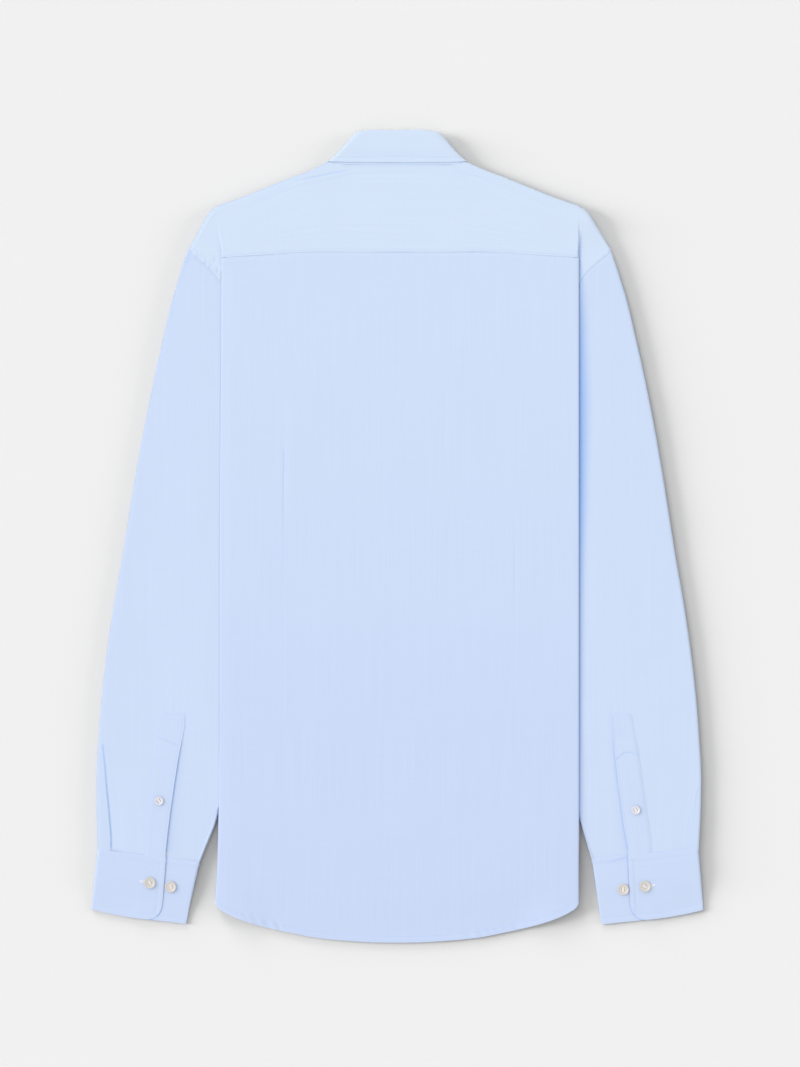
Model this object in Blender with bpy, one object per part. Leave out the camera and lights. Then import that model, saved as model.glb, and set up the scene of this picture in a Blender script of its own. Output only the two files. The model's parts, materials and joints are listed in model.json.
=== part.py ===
"""A long-sleeved sport shirt, laid flat with its back up.

The front lies on the ground and the back on the front. Both sides of the body are turned
under along straight folds, and the sleeves come out from beneath them and run down beside
the body. +Y is towards the collar, +X is the wearer's right, and the ground is z = 0.

All sizes are in millimetres and every height is that of the middle of the cloth.
Shapes are worked out for the wearer's right and placed on either side by place().
"""

import math
from collections import namedtuple

import bmesh
import bpy

MM = 0.001

# Cloth
CLOTH = 1.2
GAP = 0.4
LAYER = CLOTH + GAP
SEAM = 0.5
CUFF_CLOTH = 1.4
PUFF = 5.0

# Body
BODY_FOLD = 179.0
FOLD_OUT = 3.0
FRONT_LAP = 16.0
FRONT_RISE = 12.0
MARGIN_HEM_SLOPE = 0.6
FORWARD_SEAM = 20.0
NECK_HALF = 72.0

# Slopes of the body's layers over what lies below them: sleeves, turned-under sides,
# the buttoned edges of the fronts and the collar's points
UNDERARM_X = 87.0
UNDERARM_Y = 76.0
CLEAR = 34.0
SLOPE = 48.0
FOLD_CLEAR = 6.0
FOLD_CLEAR_START = 145.0
FOLD_CLEAR_RUN = 30.0
MARGIN_START = 64.0
MARGIN_RUN = 16.0
CENTRE_END = 18.0
CENTRE_RUN = 30.0
COLLAR_POINT_X = 85.0
COLLAR_POINT_RUN = 35.0
COLLAR_POINT_Y = 205.0
COLLAR_POINT_RISE = 40.0
SLEEVE_PRESS = 0.2

# A sleeve's upper side outside the body's fold, and the yoke's tip above it
CREASE_AT = 180.0
CREASE_RAMP = 22.0
TIP_BLEND_Y = 262.0
TIP_BLEND_RUN = 50.0
CREASE_SHARE = 0.72

# Room between the collar's stand and its fall, round the neck's sides and at the roll
FALL_SLACK = 0.9
STAND_LEAN = 0.3

# Cuffs, pleats and sleeve plackets. The shares run round the cuff from its inner edge.
PLEAT_DEPTH = 1.2
PLEAT_SPREAD = 14.0
CUFF_CORNER = 16.0
OVERLAP_START = 0.34
UNDERLAP_END = 0.54
CORNER_STEPS = [0, 0.012, 0.035, 0.075, 0.15]
CUFF_UPPER = [0.62, 0.8]
CUFF_LOWER = 0.5
UNDERLAP_BEFORE = 0.3
CUFF_ROWS = [0, 0.3, 0.6, 1]

# Buttons
BUTTON = 11.4
SMALL_BUTTON = 9.2
BUTTON_SIDES = 16
BUTTON_THICK = 2.2
BUTTON_ROOM = 0.3
COLLAR_BUTTON_Y = 304.0
HOLE_RADIUS = 0.8
HOLE_OFFSET = 1.5
FRONT_BUTTON_TOP = 235.0
FRONT_BUTTON_STEP = 90.0
FRONT_BUTTONS = 6

Place = namedtuple("Place", "x y")
Along = namedtuple("Along", "at value")
CollarRow = namedtuple("CollarRow", "turn neck roll edge")
ButtonPlace = namedtuple("ButtonPlace", "name x y diameter height up")
Ring = namedtuple("Ring", "inside z")
RollStep = namedtuple("RollStep", "beyond layer")

# How far the wearer's left edge lies inside the mirror image of the right one, by y.
LEFT_INSET = [
    Along(-372, 0.0),
    Along(-304, 3.0),
    Along(-264, 4.0),
    Along(36, 4.5),
    Along(136, 5.5),
    Along(255, 6.0),
    Along(305, 6.0),
    Along(330, 3.0),
]

# Outer edge of the right sleeve, its x by y.
SLEEVE_OUTER = [
    Along(-312, 301.5),
    Along(-264, 303.5),
    Along(-204, 302.0),
    Along(-164, 299.0),
    Along(-104, 292.0),
    Along(-24, 279.0),
    Along(76, 263.0),
    Along(136, 252.0),
    Along(196, 239.5),
    Along(246, 227.0),
    Along(267, 219.8),
    Along(284, 213.7),
]

# Underarm seam of the sleeve, its x by y. Most of it lies under the body.
SLEEVE_INNER = [Along(-322, 194.4), Along(-279, 181.7), Along(UNDERARM_Y, UNDERARM_X)]

# Fold line of the pleat beside the cuff, its x by y.
PLEAT = [Along(-311, 289.5), Along(-276, 292.0), Along(-250, 295.5), Along(-209, 298.5)]

# Shoulder and armhole ends of the body, their y by x.
SHOULDER = [
    Along(72, 372.5),
    Along(110, 357.5),
    Along(155, 339.0),
    Along(183, 328.5),
    Along(190, 323.0),
    Along(196, 316.5),
    Along(204, 304.5),
    Along(210.5, 294.0),
    Along(213.7, 285.0),
]
ARMHOLE = [
    Along(UNDERARM_X, UNDERARM_Y),
    Along(104, 90),
    Along(124, 115),
    Along(145, 150),
    Along(163, 195),
    Along(176, 235),
    Along(188, 260),
    Along(200, 272.5),
    Along(213.7, 284),
]

# Side seam where it lies under the body, its x by y.
SIDE_SEAM = [Along(-372, 97), Along(-200, 104), Along(0, 106), Along(UNDERARM_Y, UNDERARM_X)]

# Shirt-tail hem and back yoke seam, their y by x.
HEM = [
    Along(0, -406.4),
    Along(40, -405.0),
    Along(80, -401.0),
    Along(110, -395.5),
    Along(143, -387.5),
    Along(165, -380.0),
    Along(179, -372.5),
    Along(182, -367.0),
]
YOKE_SEAM = [Along(0, 283.3), Along(80, 283.7), Along(110, 282.3), Along(140, 280.3), Along(183, 278.5)]

# Neck seam of the yoke and front neckline, their y by x.
NECK_SEAM = [Along(0, 370.2), Along(50, 370.2), Along(64, 368.6)]
NECKLINE = [Along(0, 288), Along(26, 294), Along(48, 312), Along(62, 340), Along(72, 352)]

# Half of the collar from the centre back to the centre front. turn is 90 on the back,
# -90 on the front and between them around the side. A collar's stand runs from neck to
# roll and its fall from roll to edge.
COLLAR = [
    CollarRow(90, Place(0, 370.7), Place(0, 403.55), Place(0, 374.0)),
    CollarRow(90, Place(18, 370.7), Place(11, 403.55), Place(19, 374.0)),
    CollarRow(90, Place(48, 370.7), Place(29, 403.55), Place(50, 374.0)),
    CollarRow(90, Place(64, 371.0), Place(38, 402.2), Place(66, 374.0)),
    CollarRow(45, Place(66, 371.6), Place(40, 400.4), Place(68, 373.0)),
    CollarRow(0, Place(66, 372.0), Place(41, 398.4), Place(69, 371.6)),
    CollarRow(-45, Place(66, 371.4), Place(41, 396.4), Place(69, 370.2)),
    CollarRow(-90, Place(65, 369.5), Place(41, 393.4), Place(69, 368.0)),
    CollarRow(-90, Place(62, 342.0), Place(45, 370.0), Place(69, 335.0)),
    CollarRow(-90, Place(48, 314.0), Place(37, 344.0), Place(61, 298.0)),
    CollarRow(-90, Place(26, 297.0), Place(20, 327.0), Place(54, 278.0)),
    CollarRow(-90, Place(4, 290.0), Place(4, 319.0), Place(47, 262.0)),
]
STAND_END = CollarRow(-90, Place(-12, 292.0), Place(-12, 319.0), None)
STAND_ROWS = [0, 0.33, 0.66, 1]

# Over the roll: how far beyond the stand's top edge, and how far up from the stand's own
# layer to the fall's. Then the fall's rows down to its edge.
ROLL = [RollStep(2.3, 0), RollStep(1.9, 0.6), RollStep(-1.0, 1)]
FALL_ROWS = [0.4, 0.7, 1]

# Right cuff: the corners of its flat shape, top edge first, and its placket.
CUFF_TOP = [Place(194.4, -322.0), Place(301.0, -312.4)]
CUFF_BOTTOM = [Place(204.6, -388.0), Place(306.4, -375.0)]
PLACKET_LAP = [Along(-310, 230.4), Along(-266, 223.2), Along(-213, 216.9), Along(-176, 214.0)]
PLACKET_STITCH = [Along(-310, 253.6), Along(-266, 248.0), Along(-213, 240.9), Along(-176, 235.4)]
PLACKET_ROWS = [-311.5, -266, -213, -176]

# Heights of the middle of the cloth above the ground.
FLOOR_CLOTH = CLOTH / 2
TUBE_TOP = FLOOR_CLOTH + PUFF
SLEEVE_UNDER_TOP = FLOOR_CLOTH + LAYER
CUFF_FLOOR = CUFF_CLOTH / 2
CUFF_UNDERLAP = 4.4
CUFF_OVERLAP = 6.2
LEFT_LAP_LIFT = BUTTON_THICK + BUTTON_ROOM
RIGHT_LAP_LIFT = LEFT_LAP_LIFT + LAYER
BACK_RIDGE = RIGHT_LAP_LIFT + FLOOR_CLOTH + LAYER - TUBE_TOP

# Across and along the body, where its grids have their points.
FRONT_TIP_LOW = 279.4
ACROSS = [0, CENTRE_END, 32, 48, MARGIN_START, 80, 110, 145, 163, BODY_FOLD]
TURNED_ACROSS = [163, 145, 110, UNDERARM_X]
HALF_TURN = [90, 45, 0, -45, -90]
ALONG = [-500, -360, -300, -200, -100, 0, 80, 120, 160, 200, 226, 250, 268]
ALONG += [FRONT_TIP_LOW, 293, 500]
SHOULDER_ROWS = [0, 0.25, 0.5, 0.75, 1]
TIP_ACROSS = [184.6, 188, 194, 200, 206, 210.5, 212.4]
CREASE_TOP = 181.4
CREASE_FOOT = 183.2
TUCK = 180.6
TIP_SEAM = 0.8
FRONT_TIP_ACROSS = [184.2, 195, 204]
SHOULDER_ACROSS = [72, 80, 110, 145, 163, BODY_FOLD, CREASE_TOP, CREASE_FOOT, *TIP_ACROSS]


def read(table, at):
    """The value that a table gives at a place, on straight lines between its rows."""
    if at <= table[0].at:
        return table[0].value
    for low, high in zip(table, table[1:]):
        if at <= high.at:
            return mix(low.value, high.value, (at - low.at) / (high.at - low.at))
    return table[-1].value


def mix(low, high, share):
    return low + (high - low) * share


def ease(share):
    """0 before 0, 1 after 1, and a smooth rise between them."""
    share = min(max(share, 0.0), 1.0)
    return share * share * (3 - 2 * share)


def place(side, x, y, z):
    """A point worked out for the wearer's right, on that side (1) or the other (-1)."""
    if side > 0:
        return (x, y, z)
    return (read(LEFT_INSET, y) * min(x / 150.0, 1.0) - x, y, z)


def armhole_x(y):
    """x of the armhole seam at a height y on the body."""
    return read([Along(row.value, row.at) for row in ARMHOLE], y)


# Heights of the layers


def sleeve_below(x, y):
    """1 where a sleeve lies under the body, easing to 0 around it."""
    across = 1 - ease((read(SLEEVE_INNER, y) - CLEAR - x) / SLOPE)
    above = 1 - ease((y - read(ARMHOLE, x) - CLEAR) / SLOPE)
    return across * above


def margin_below(x, y):
    """1 where the turned-under sides lie below the front, easing to 0 around them."""
    near_fold = ease((x - FOLD_CLEAR_START) / FOLD_CLEAR_RUN)
    across = ease((x - MARGIN_START) / MARGIN_RUN)
    clear = mix(2 * CLEAR, FOLD_CLEAR, near_fold)
    above = 1 - ease((y - read(ARMHOLE, x) - clear) / SLOPE)
    return across * above


def near_centre(x):
    """1 over the buttoned edges of the fronts, easing to 0 beside them."""
    return 1 - ease((abs(x) - CENTRE_END) / CENTRE_RUN)


def near_collar(x, y):
    """1 over the collar's points, easing to 0 around them."""
    across = 1 - ease((abs(x) - COLLAR_POINT_X) / COLLAR_POINT_RUN)
    return across * ease((y - COLLAR_POINT_Y) / COLLAR_POINT_RISE)


def back_height(x, y):
    sleeve_lift = 2 * LAYER - SLEEVE_PRESS
    return TUBE_TOP + BACK_RIDGE * near_centre(x) + sleeve_lift * sleeve_below(abs(x), y)


def front_height(x, y, lap_lift):
    under = margin_below(abs(x), y) * (1 + sleeve_below(abs(x), y)) * 2 * LAYER
    return FLOOR_CLOTH + under + max(lap_lift * near_centre(x), LAYER * near_collar(x, y))


def margin_height(x, y, layer):
    """Height of the turned-under side: layer 0 is the back and layer 1 the front."""
    return FLOOR_CLOTH + layer * LAYER + 2 * LAYER * sleeve_below(x, y)


def sleeve_height(x):
    """Height of a sleeve's upper side: pressed flat under the body, full beside it."""
    return mix(SLEEVE_UNDER_TOP, TUBE_TOP, ease((x - CREASE_AT) / CREASE_RAMP))


def pleat_height(x, y):
    """Height of a sleeve's upper side near its cuff, where it dips inside the pleat."""
    fold = read(PLEAT, y)
    if x > fold:
        return sleeve_height(x)
    depth = PLEAT_DEPTH * ease((PLEAT[-1].at - y) / (PLEAT[-1].at - PLEAT[0].at))
    return sleeve_height(x) - depth * (1 - ease((fold - x) / PLEAT_SPREAD))


def tip_height(x, y):
    """Height of the yoke's tip outside the crease."""
    return mix(sleeve_height(x), TUBE_TOP, ease((y - TIP_BLEND_Y) / TIP_BLEND_RUN))


# Making solids


def material(name, colour, roughness):
    made = bpy.data.materials.new(name)
    made.use_nodes = True
    shader = made.node_tree.nodes["Principled BSDF"]
    shader.inputs["Base Color"].default_value = (*colour, 1)
    shader.inputs["Roughness"].default_value = roughness
    shader.inputs["Metallic"].default_value = 0.0
    return made


def add_grid(mesh, seen, columns):
    """Triangles between columns of points. Points that coincide are one point."""

    def vertex(point):
        key = tuple(round(value, 3) for value in point)
        if key not in seen:
            seen[key] = mesh.verts.new([value * MM for value in key])
        return seen[key]

    rows = [[vertex(point) for point in column] for column in columns]
    for left, right in zip(rows, rows[1:]):
        for low in range(len(left) - 1):
            high = low + 1
            for corners in (
                (left[low], right[low], right[high]),
                (left[low], right[high], left[high]),
            ):
                if len(set(corners)) == 3 and mesh.faces.get(corners) is None:
                    mesh.faces.new(corners)


def cloth(name, grids, wall, finish):
    """A cloth piece: one sheet over the grids' points, given an even wall."""
    mesh = bmesh.new()
    seen = {}
    for columns in grids:
        add_grid(mesh, seen, columns)
    bmesh.ops.recalc_face_normals(mesh, faces=mesh.faces)
    data = bpy.data.meshes.new(name)
    mesh.to_mesh(data)
    mesh.free()
    piece = bpy.data.objects.new(name, data)
    bpy.context.scene.collection.objects.link(piece)
    data.materials.append(finish)
    data.shade_smooth()
    data.set_sharp_from_angle(angle=math.radians(40))
    solid = piece.modifiers.new("wall", "SOLIDIFY")
    solid.thickness = wall * MM
    solid.offset = 0.0
    return piece


# Body


def body_column(x, height, low, top):
    """One column of a body panel at x, from its low edge to its top edge."""
    points = []
    for level in ALONG:
        y = min(max(level, low), top)
        points.append((x, y, height(x, y)))
    return points


def side_columns(side, layer, main_height):
    """The fold at one side and the part turned under it, for the back or the front."""
    hem_rise = 0.0 if layer == 0 else FRONT_RISE
    columns = []
    for turn in HALF_TURN:
        reach = math.cos(math.radians(turn))
        column = []
        for level in ALONG:
            low = read(HEM, BODY_FOLD + FOLD_OUT * reach) + hem_rise
            y = min(max(level, low), fold_top(turn, layer))
            upper = main_height(BODY_FOLD, y)
            lower = margin_height(BODY_FOLD, y, layer)
            middle = (upper + lower) / 2
            radius = (upper - lower) / 2
            x = BODY_FOLD + radius * reach
            column.append(place(side, x, y, middle + radius * math.sin(math.radians(turn))))
        columns.append(column)
    for station in TURNED_ACROSS:
        column = []
        for level in ALONG:
            x = max(station, read(SIDE_SEAM, min(level, UNDERARM_Y)))
            low = read(HEM, BODY_FOLD + FOLD_OUT) + MARGIN_HEM_SLOPE * (BODY_FOLD - x)
            y = min(max(level, low), read(ARMHOLE, x))
            column.append(place(side, x, y, margin_height(x, y, layer)))
        columns.append(column)
    return columns


def fold_top(turn, layer):
    """The top end of a side fold. The back's reaches its yoke seam at the crease."""
    armhole = read(ARMHOLE, BODY_FOLD)
    if layer == 1:
        return armhole
    seam = read(YOKE_SEAM, BODY_FOLD) - SEAM / 2
    return mix(armhole, seam, ease((turn + 45) / 90))


def make_back(finish):
    columns = []
    for side in (-1, 1):
        half = side_columns(side, 0, back_height)[::-1]
        for x in ACROSS[::-1][1:]:
            column = body_column(x, back_height, read(HEM, x), read(YOKE_SEAM, x) - SEAM / 2)
            half.append([place(side, *point) for point in column])
        columns += half if side < 0 else half[::-1][1:]
    return cloth("back", [columns], CLOTH, finish)


def make_front(name, side, lap_lift, finish):
    def height(x, y):
        return front_height(x, y, lap_lift)

    def main_column(x):
        low = read(HEM, abs(x)) + FRONT_RISE
        column = body_column(x, height, low, front_top(abs(x)))
        return [place(side, *point) for point in column]

    main = [main_column(x) for x in [-FRONT_LAP, *ACROSS]]
    turned = side_columns(side, 1, height)
    shared = [point for point in main[-1] if point[1] <= read(ARMHOLE, BODY_FOLD)]
    turned[0] = [*shared, *[shared[-1]] * (len(ALONG) - len(shared))]
    tip = [[point for point in main[-1] if point[1] > FRONT_TIP_LOW - 1]]
    tip += front_tip(side, len(tip[0]))
    grids = [grid[::side] for grid in (main, turned, tip)]
    return cloth(name, grids, CLOTH, finish)


def front_top(x):
    """y of a front's top edge: the neckline, then the forward shoulder seam."""
    if x < NECK_HALF:
        return read(NECKLINE, x)
    return read([Along(*forward_seam(at)) for at in SHOULDER_ACROSS], x) - SEAM


def front_tip(side, count):
    """The end of the front's shoulder outside the crease, with count points a column."""
    columns = []
    for x in FRONT_TIP_ACROSS:
        top = max(front_top(x), FRONT_TIP_LOW + 2 * TIP_SEAM)
        steps = [mix(FRONT_TIP_LOW, top, step / (count - 1)) for step in range(count)]
        columns.append([place(side, x, y, FLOOR_CLOTH) for y in steps])
    return columns


# Yoke


def shoulder_normal(x):
    """Outward direction of the shoulder's edge at x."""
    run = 1.0
    rise = read(SHOULDER, x + run) - read(SHOULDER, x - run)
    length = math.hypot(2 * run, rise)
    return Place(-rise / length, 2 * run / length)


def yoke_low(x):
    """The yoke's low edge: its seam with the back, then the armhole at its tip."""
    if x <= CREASE_FOOT:
        return read(YOKE_SEAM, min(x, BODY_FOLD)) + SEAM / 2
    return read(ARMHOLE, x) + TIP_SEAM


def yoke_top_height(x, y):
    """Height of the yoke's upper side, which steps down at the crease."""
    if x <= BODY_FOLD:
        return back_height(x, y)
    if x < CREASE_FOOT:
        return mix(tip_height(CREASE_FOOT, y), back_height(BODY_FOLD, y), CREASE_SHARE)
    return tip_height(x, y)


def yoke_under_height(x, y):
    return FLOOR_CLOTH + LAYER * near_collar(x, y)


def neck_column(side, x):
    low = yoke_low(x)
    points = []
    for share in SHOULDER_ROWS:
        y = mix(low, read(NECK_SEAM, x), share)
        points.append(place(side, x, y, yoke_top_height(x, y)))
    return points


def shoulder_radius(x):
    """Radius of the fold over the shoulder's edge, to the middle of the cloth."""
    edge_y = read(SHOULDER, x)
    return (yoke_top_height(x, edge_y) - yoke_under_height(x, edge_y)) / 2


def shoulder_core(x):
    """Where the shoulder's fold begins."""
    normal = shoulder_normal(x)
    reach = shoulder_radius(x) + CLOTH / 2
    return Place(x - normal.x * reach, read(SHOULDER, x) - normal.y * reach)


def forward_seam(x):
    """Where the yoke ends below the shoulder's fold, on the front."""
    core = shoulder_core(x)
    low = Place(x, yoke_low(x))
    share = min(1.0, FORWARD_SEAM / math.hypot(core.x - low.x, core.y - low.y))
    return Place(mix(core.x, low.x, share), mix(core.y, low.y, share))


def shoulder_column(side, x):
    """Up the yoke, over the shoulder's edge and down to the forward seam."""
    normal = shoulder_normal(x)
    radius = shoulder_radius(x)
    lower = yoke_under_height(x, read(SHOULDER, x))
    core = shoulder_core(x)
    low = Place(x, yoke_low(x))
    points = []
    for share in SHOULDER_ROWS:
        at = Place(mix(low.x, core.x, share), mix(low.y, core.y, share))
        points.append(place(side, at.x, at.y, yoke_top_height(x, at.y)))
    for turn in HALF_TURN[1:]:
        out = radius * math.cos(math.radians(turn))
        z = lower + radius * (1 + math.sin(math.radians(turn)))
        points.append(place(side, core.x + normal.x * out, core.y + normal.y * out, z))
    end = forward_seam(x)
    points.append(place(side, end.x, end.y, yoke_under_height(end.x, end.y)))
    return points


def tip_tuck(side):
    """The part of the yoke's tip that goes in below the body's fold."""
    outer = [shoulder_column(side, x)[0] for x in (TIP_ACROSS[0], CREASE_FOOT)]
    levels = (read(ARMHOLE, TUCK) + TIP_SEAM, read(YOKE_SEAM, TUCK) - 2 * SEAM)
    inner = [place(side, TUCK, y, tip_height(TUCK, y)) for y in levels]
    return [inner, outer]


def make_yoke(finish):
    inside = [x for x in ACROSS if x < NECK_HALF] + [NECK_HALF]
    neck = []
    grids = []
    for side in (-1, 1):
        half = [neck_column(side, x) for x in inside[:-1]]
        corner = shoulder_column(side, NECK_HALF)
        half.append(corner[: len(SHOULDER_ROWS)])
        neck += half[::-1] if side < 0 else half[1:]
        grids.append([shoulder_column(side, x) for x in SHOULDER_ACROSS])
        grids.append(tip_tuck(side))
    return cloth("yoke", [neck, *grids], CLOTH, finish)


# Sleeves

SLEEVE_ALONG = [-330, -300, -279, -250, -200, -150, -80, 0, UNDERARM_Y, 100, 130, 165]
SLEEVE_ALONG += [200, 242, 252, 260, 266.5, 272.5, 278, 281]
SLEEVE_ACROSS = [110, 145, 172, 180, 183, 187, 193, 202]
SLEEVE_BEYOND = [0.35, 0.65]
SLEEVE_LOWER = [0.4, 0.8, 1]
SLEEVE_LOWER_TOP = 278.6
SLEEVE_LOWER_IN = 184.4
SLEEVE_LOWER_IN_FROM = 250.0
UNDERSIDE_POINTS = 8


def cuff_edge_y(x):
    low, high = CUFF_TOP
    return mix(low.y, high.y, (x - low.x) / (high.x - low.x))


def sleeve_row(side, level):
    """One turn of the sleeve at a level: upper side, outer fold, lower side."""
    closed = level <= UNDERARM_Y
    inner = read(SLEEVE_INNER, level) if closed else armhole_x(level)
    outer = read(SLEEVE_OUTER, level)
    radius = PUFF / 2
    core = outer - radius - CLOTH / 2
    tight = (sleeve_height(inner) - FLOOR_CLOTH) / 2 if closed else 0.0
    start = inner + tight
    points = []
    for turn in (0, 45):
        swing = math.radians(turn)
        rise = FLOOR_CLOTH + tight * (1 + math.sin(swing)) if closed else sleeve_height(inner)
        points.append((start - tight * math.cos(swing), rise))
    pleat = read(PLEAT, level)
    upper = [*SLEEVE_ACROSS, *[mix(SLEEVE_ACROSS[-1], core, share) for share in SLEEVE_BEYOND]]
    upper += [pleat - PLEAT_SPREAD, pleat - 1, pleat + 1, core]
    points.append((start, sleeve_height(start)))
    for x in upper:
        x = min(max(x, start), max(core, start))
        points.append((x, pleat_height(x, level)))
    for turn in HALF_TURN[1:]:
        swing = math.radians(turn)
        middle = (sleeve_height(core) + FLOOR_CLOTH) / 2
        half = middle - FLOOR_CLOTH
        points.append((core + half * math.cos(swing), middle + half * math.sin(swing)))
    low_start = min(start, SLEEVE_LOWER_IN) if level > SLEEVE_LOWER_IN_FROM else start
    for share in SLEEVE_LOWER:
        points.append((mix(core, low_start, share), FLOOR_CLOTH))
    for turn in (-45, 0):
        swing = math.radians(turn)
        rise = FLOOR_CLOTH + tight * (1 + math.sin(swing))
        points.append((low_start - tight * math.cos(swing), rise))
    row = []
    for order, (x, z) in enumerate(points):
        y = max(level, cuff_edge_y(x) + SEAM)
        under = order >= len(points) - UNDERSIDE_POINTS
        row.append(place(side, x, min(y, SLEEVE_LOWER_TOP) if under else y, z))
    return row


def make_sleeve(name, side, finish):
    rows = [sleeve_row(side, level) for level in SLEEVE_ALONG]
    return cloth(name, [rows], CLOTH, finish)


def make_sleeve_placket(name, side, finish):
    """The band over the sleeve's slit, made from the sleeve's own surface, moved out."""
    columns = []
    for share in (0, 0.5, 1):
        column = []
        for level in PLACKET_ROWS:
            x = mix(read(PLACKET_LAP, level), read(PLACKET_STITCH, level), share)
            column.append(place(side, x, level, sleeve_height(x) + LAYER))
        columns.append(column)
    return cloth(name, [columns], CLOTH, finish)


# Cuffs


def cuff_place(share, down):
    """A point of the flat cuff: share runs from its inner to its outer edge."""
    top = Place(*(mix(a, b, share) for a, b in zip(*CUFF_TOP)))
    bottom = Place(*(mix(a, b, share) for a, b in zip(*CUFF_BOTTOM)))
    return Place(mix(top.x, bottom.x, down), mix(top.y, bottom.y, down))


def corner_lift(distance):
    """How far a cuff's rounded corner rises at a distance from the cuff's end."""
    if distance >= CUFF_CORNER:
        return 0.0
    inside = CUFF_CORNER - distance
    return CUFF_CORNER - math.sqrt(CUFF_CORNER**2 - inside**2)


def cuff_stations():
    """Round the cuff, from the end of the overlap to the end of the underlap."""
    width = CUFF_TOP[1].x - CUFF_TOP[0].x
    height = CUFF_TOP[0].y - CUFF_BOTTOM[0].y
    reach = (TUBE_TOP - CUFF_FLOOR) / 2
    low_reach = (CUFF_UNDERLAP - CUFF_FLOOR) / 2
    outer = 1 - (reach + CUFF_CLOTH / 2) / width
    inner = (low_reach + CUFF_CLOTH / 2) / width
    stations = []
    for beyond in CORNER_STEPS:
        lift = corner_lift(beyond * width) / height
        stations.append((OVERLAP_START + beyond, CUFF_OVERLAP, 1 - lift))
    for share in CUFF_UPPER:
        stations.append((share, TUBE_TOP, 1))
    for turn in HALF_TURN:
        swing = math.radians(turn)
        rise = CUFF_FLOOR + reach * (1 + math.sin(swing))
        stations.append((outer + reach * math.cos(swing) / width, rise, 1))
    stations.append((CUFF_LOWER, CUFF_FLOOR, 1))
    for turn in HALF_TURN[::-1]:
        swing = math.radians(turn)
        rise = CUFF_FLOOR + low_reach * (1 + math.sin(swing))
        stations.append((inner - low_reach * math.cos(swing) / width, rise, 1))
    for before in [UNDERLAP_BEFORE, *CORNER_STEPS[::-1]]:
        lift = corner_lift(before * width) / height
        stations.append((UNDERLAP_END - before, CUFF_UNDERLAP, 1 - lift))
    return stations


def make_cuff(name, side, finish):
    columns = []
    for share, z, depth in cuff_stations():
        column = []
        for down in CUFF_ROWS:
            at = cuff_place(share, down * depth)
            column.append(place(side, at.x, at.y, z))
        columns.append(column)
    return cloth(name, [columns], CUFF_CLOTH, finish)


# Collar


def collar_side_normal():
    """Outward direction at the collar's side, in plan."""
    side = next(row for row in COLLAR if row.turn == 0)
    run = Place(side.roll.x - side.neck.x, side.roll.y - side.neck.y)
    length = math.hypot(run.x, run.y)
    return Place(run.y / length, -run.x / length)


def collar_point(side, at, turn, upper, lower, slack=0.0):
    """A point of the collar's ring: upper on the back, lower on the front."""
    swing = math.radians(turn)
    radius = (upper - lower) / 2
    normal = collar_side_normal()
    out = (radius + slack) * math.cos(swing)
    z = lower + radius * (1 + math.sin(swing))
    return place(side, at.x + normal.x * out, at.y + normal.y * out, z)


def make_collar_stand(finish):
    columns = []
    for side, lap_lift in ((-1, LEFT_LAP_LIFT), (1, RIGHT_LAP_LIFT)):
        half = []
        for row in [*COLLAR, STAND_END]:
            column = []
            for share in STAND_ROWS:
                at = Place(mix(row.neck.x, row.roll.x, share), mix(row.neck.y, row.roll.y, share))
                lean = STAND_LEAN * share
                upper = TUBE_TOP + BACK_RIDGE * near_centre(at.x) - lean
                lift = max(lap_lift * near_centre(at.x), LAYER + lean)
                lower = FLOOR_CLOTH + (lift if row.turn == -90 else LAYER + lean)
                column.append(collar_point(side, at, row.turn, upper, lower))
            half.append(column)
        columns += half[::-1] if side < 0 else half[1:]
    return cloth("collar_stand", [columns], CLOTH, finish)


def make_collar_fall(finish):
    columns = []
    for side in (-1, 1):
        half = []
        for row in COLLAR:
            length = math.hypot(row.roll.x - row.neck.x, row.roll.y - row.neck.y)
            up = Place((row.roll.x - row.neck.x) / length, (row.roll.y - row.neck.y) / length)
            ridge = BACK_RIDGE * near_centre(row.roll.x)
            column = []
            for step in ROLL:
                at = Place(row.roll.x + up.x * step.beyond, row.roll.y + up.y * step.beyond)
                upper = TUBE_TOP + ridge + step.layer * LAYER
                lower = FLOOR_CLOTH + (1 - step.layer) * LAYER
                column.append(collar_point(side, at, row.turn, upper, lower, FALL_SLACK))
            for share in FALL_ROWS:
                at = Place(mix(row.roll.x, row.edge.x, share), mix(row.roll.y, row.edge.y, share))
                upper = TUBE_TOP + BACK_RIDGE * near_centre(at.x) + LAYER
                column.append(collar_point(side, at, row.turn, upper, FLOOR_CLOTH, FALL_SLACK))
            half.append(column)
        columns += half[::-1] if side < 0 else half[1:]
    return cloth("collar_fall", [columns], CLOTH, finish)


# Buttons


# A button's profile, from its back to its sunken middle.
BUTTON_RINGS = [
    Ring(0.3, 0.0),
    Ring(0.0, 0.5),
    Ring(0.0, 1.6),
    Ring(0.5, BUTTON_THICK),
    Ring(1.3, BUTTON_THICK),
    Ring(1.9, BUTTON_THICK - 0.5),
]


def button_mesh(name, diameter, finish):
    """A turned button: flat back, rounded edge, raised rim and sunken middle."""
    radius = diameter / 2
    mesh = bmesh.new()
    loops = []
    for ring in BUTTON_RINGS:
        loop = []
        reach = radius - ring.inside
        for step in range(BUTTON_SIDES):
            angle = 2 * math.pi * step / BUTTON_SIDES
            spot = (reach * math.cos(angle), reach * math.sin(angle), ring.z)
            loop.append(mesh.verts.new([value * MM for value in spot]))
        loops.append(loop)
    for low, high in zip(loops, loops[1:]):
        for step in range(BUTTON_SIDES):
            after = (step + 1) % BUTTON_SIDES
            mesh.faces.new((low[step], low[after], high[after], high[step]))
    mesh.faces.new(loops[0][::-1])
    mesh.faces.new(loops[-1])
    data = bpy.data.meshes.new(name)
    mesh.to_mesh(data)
    mesh.free()
    data.materials.append(finish)
    data.shade_smooth()
    data.set_sharp_from_angle(angle=math.radians(40))
    return data


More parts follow.
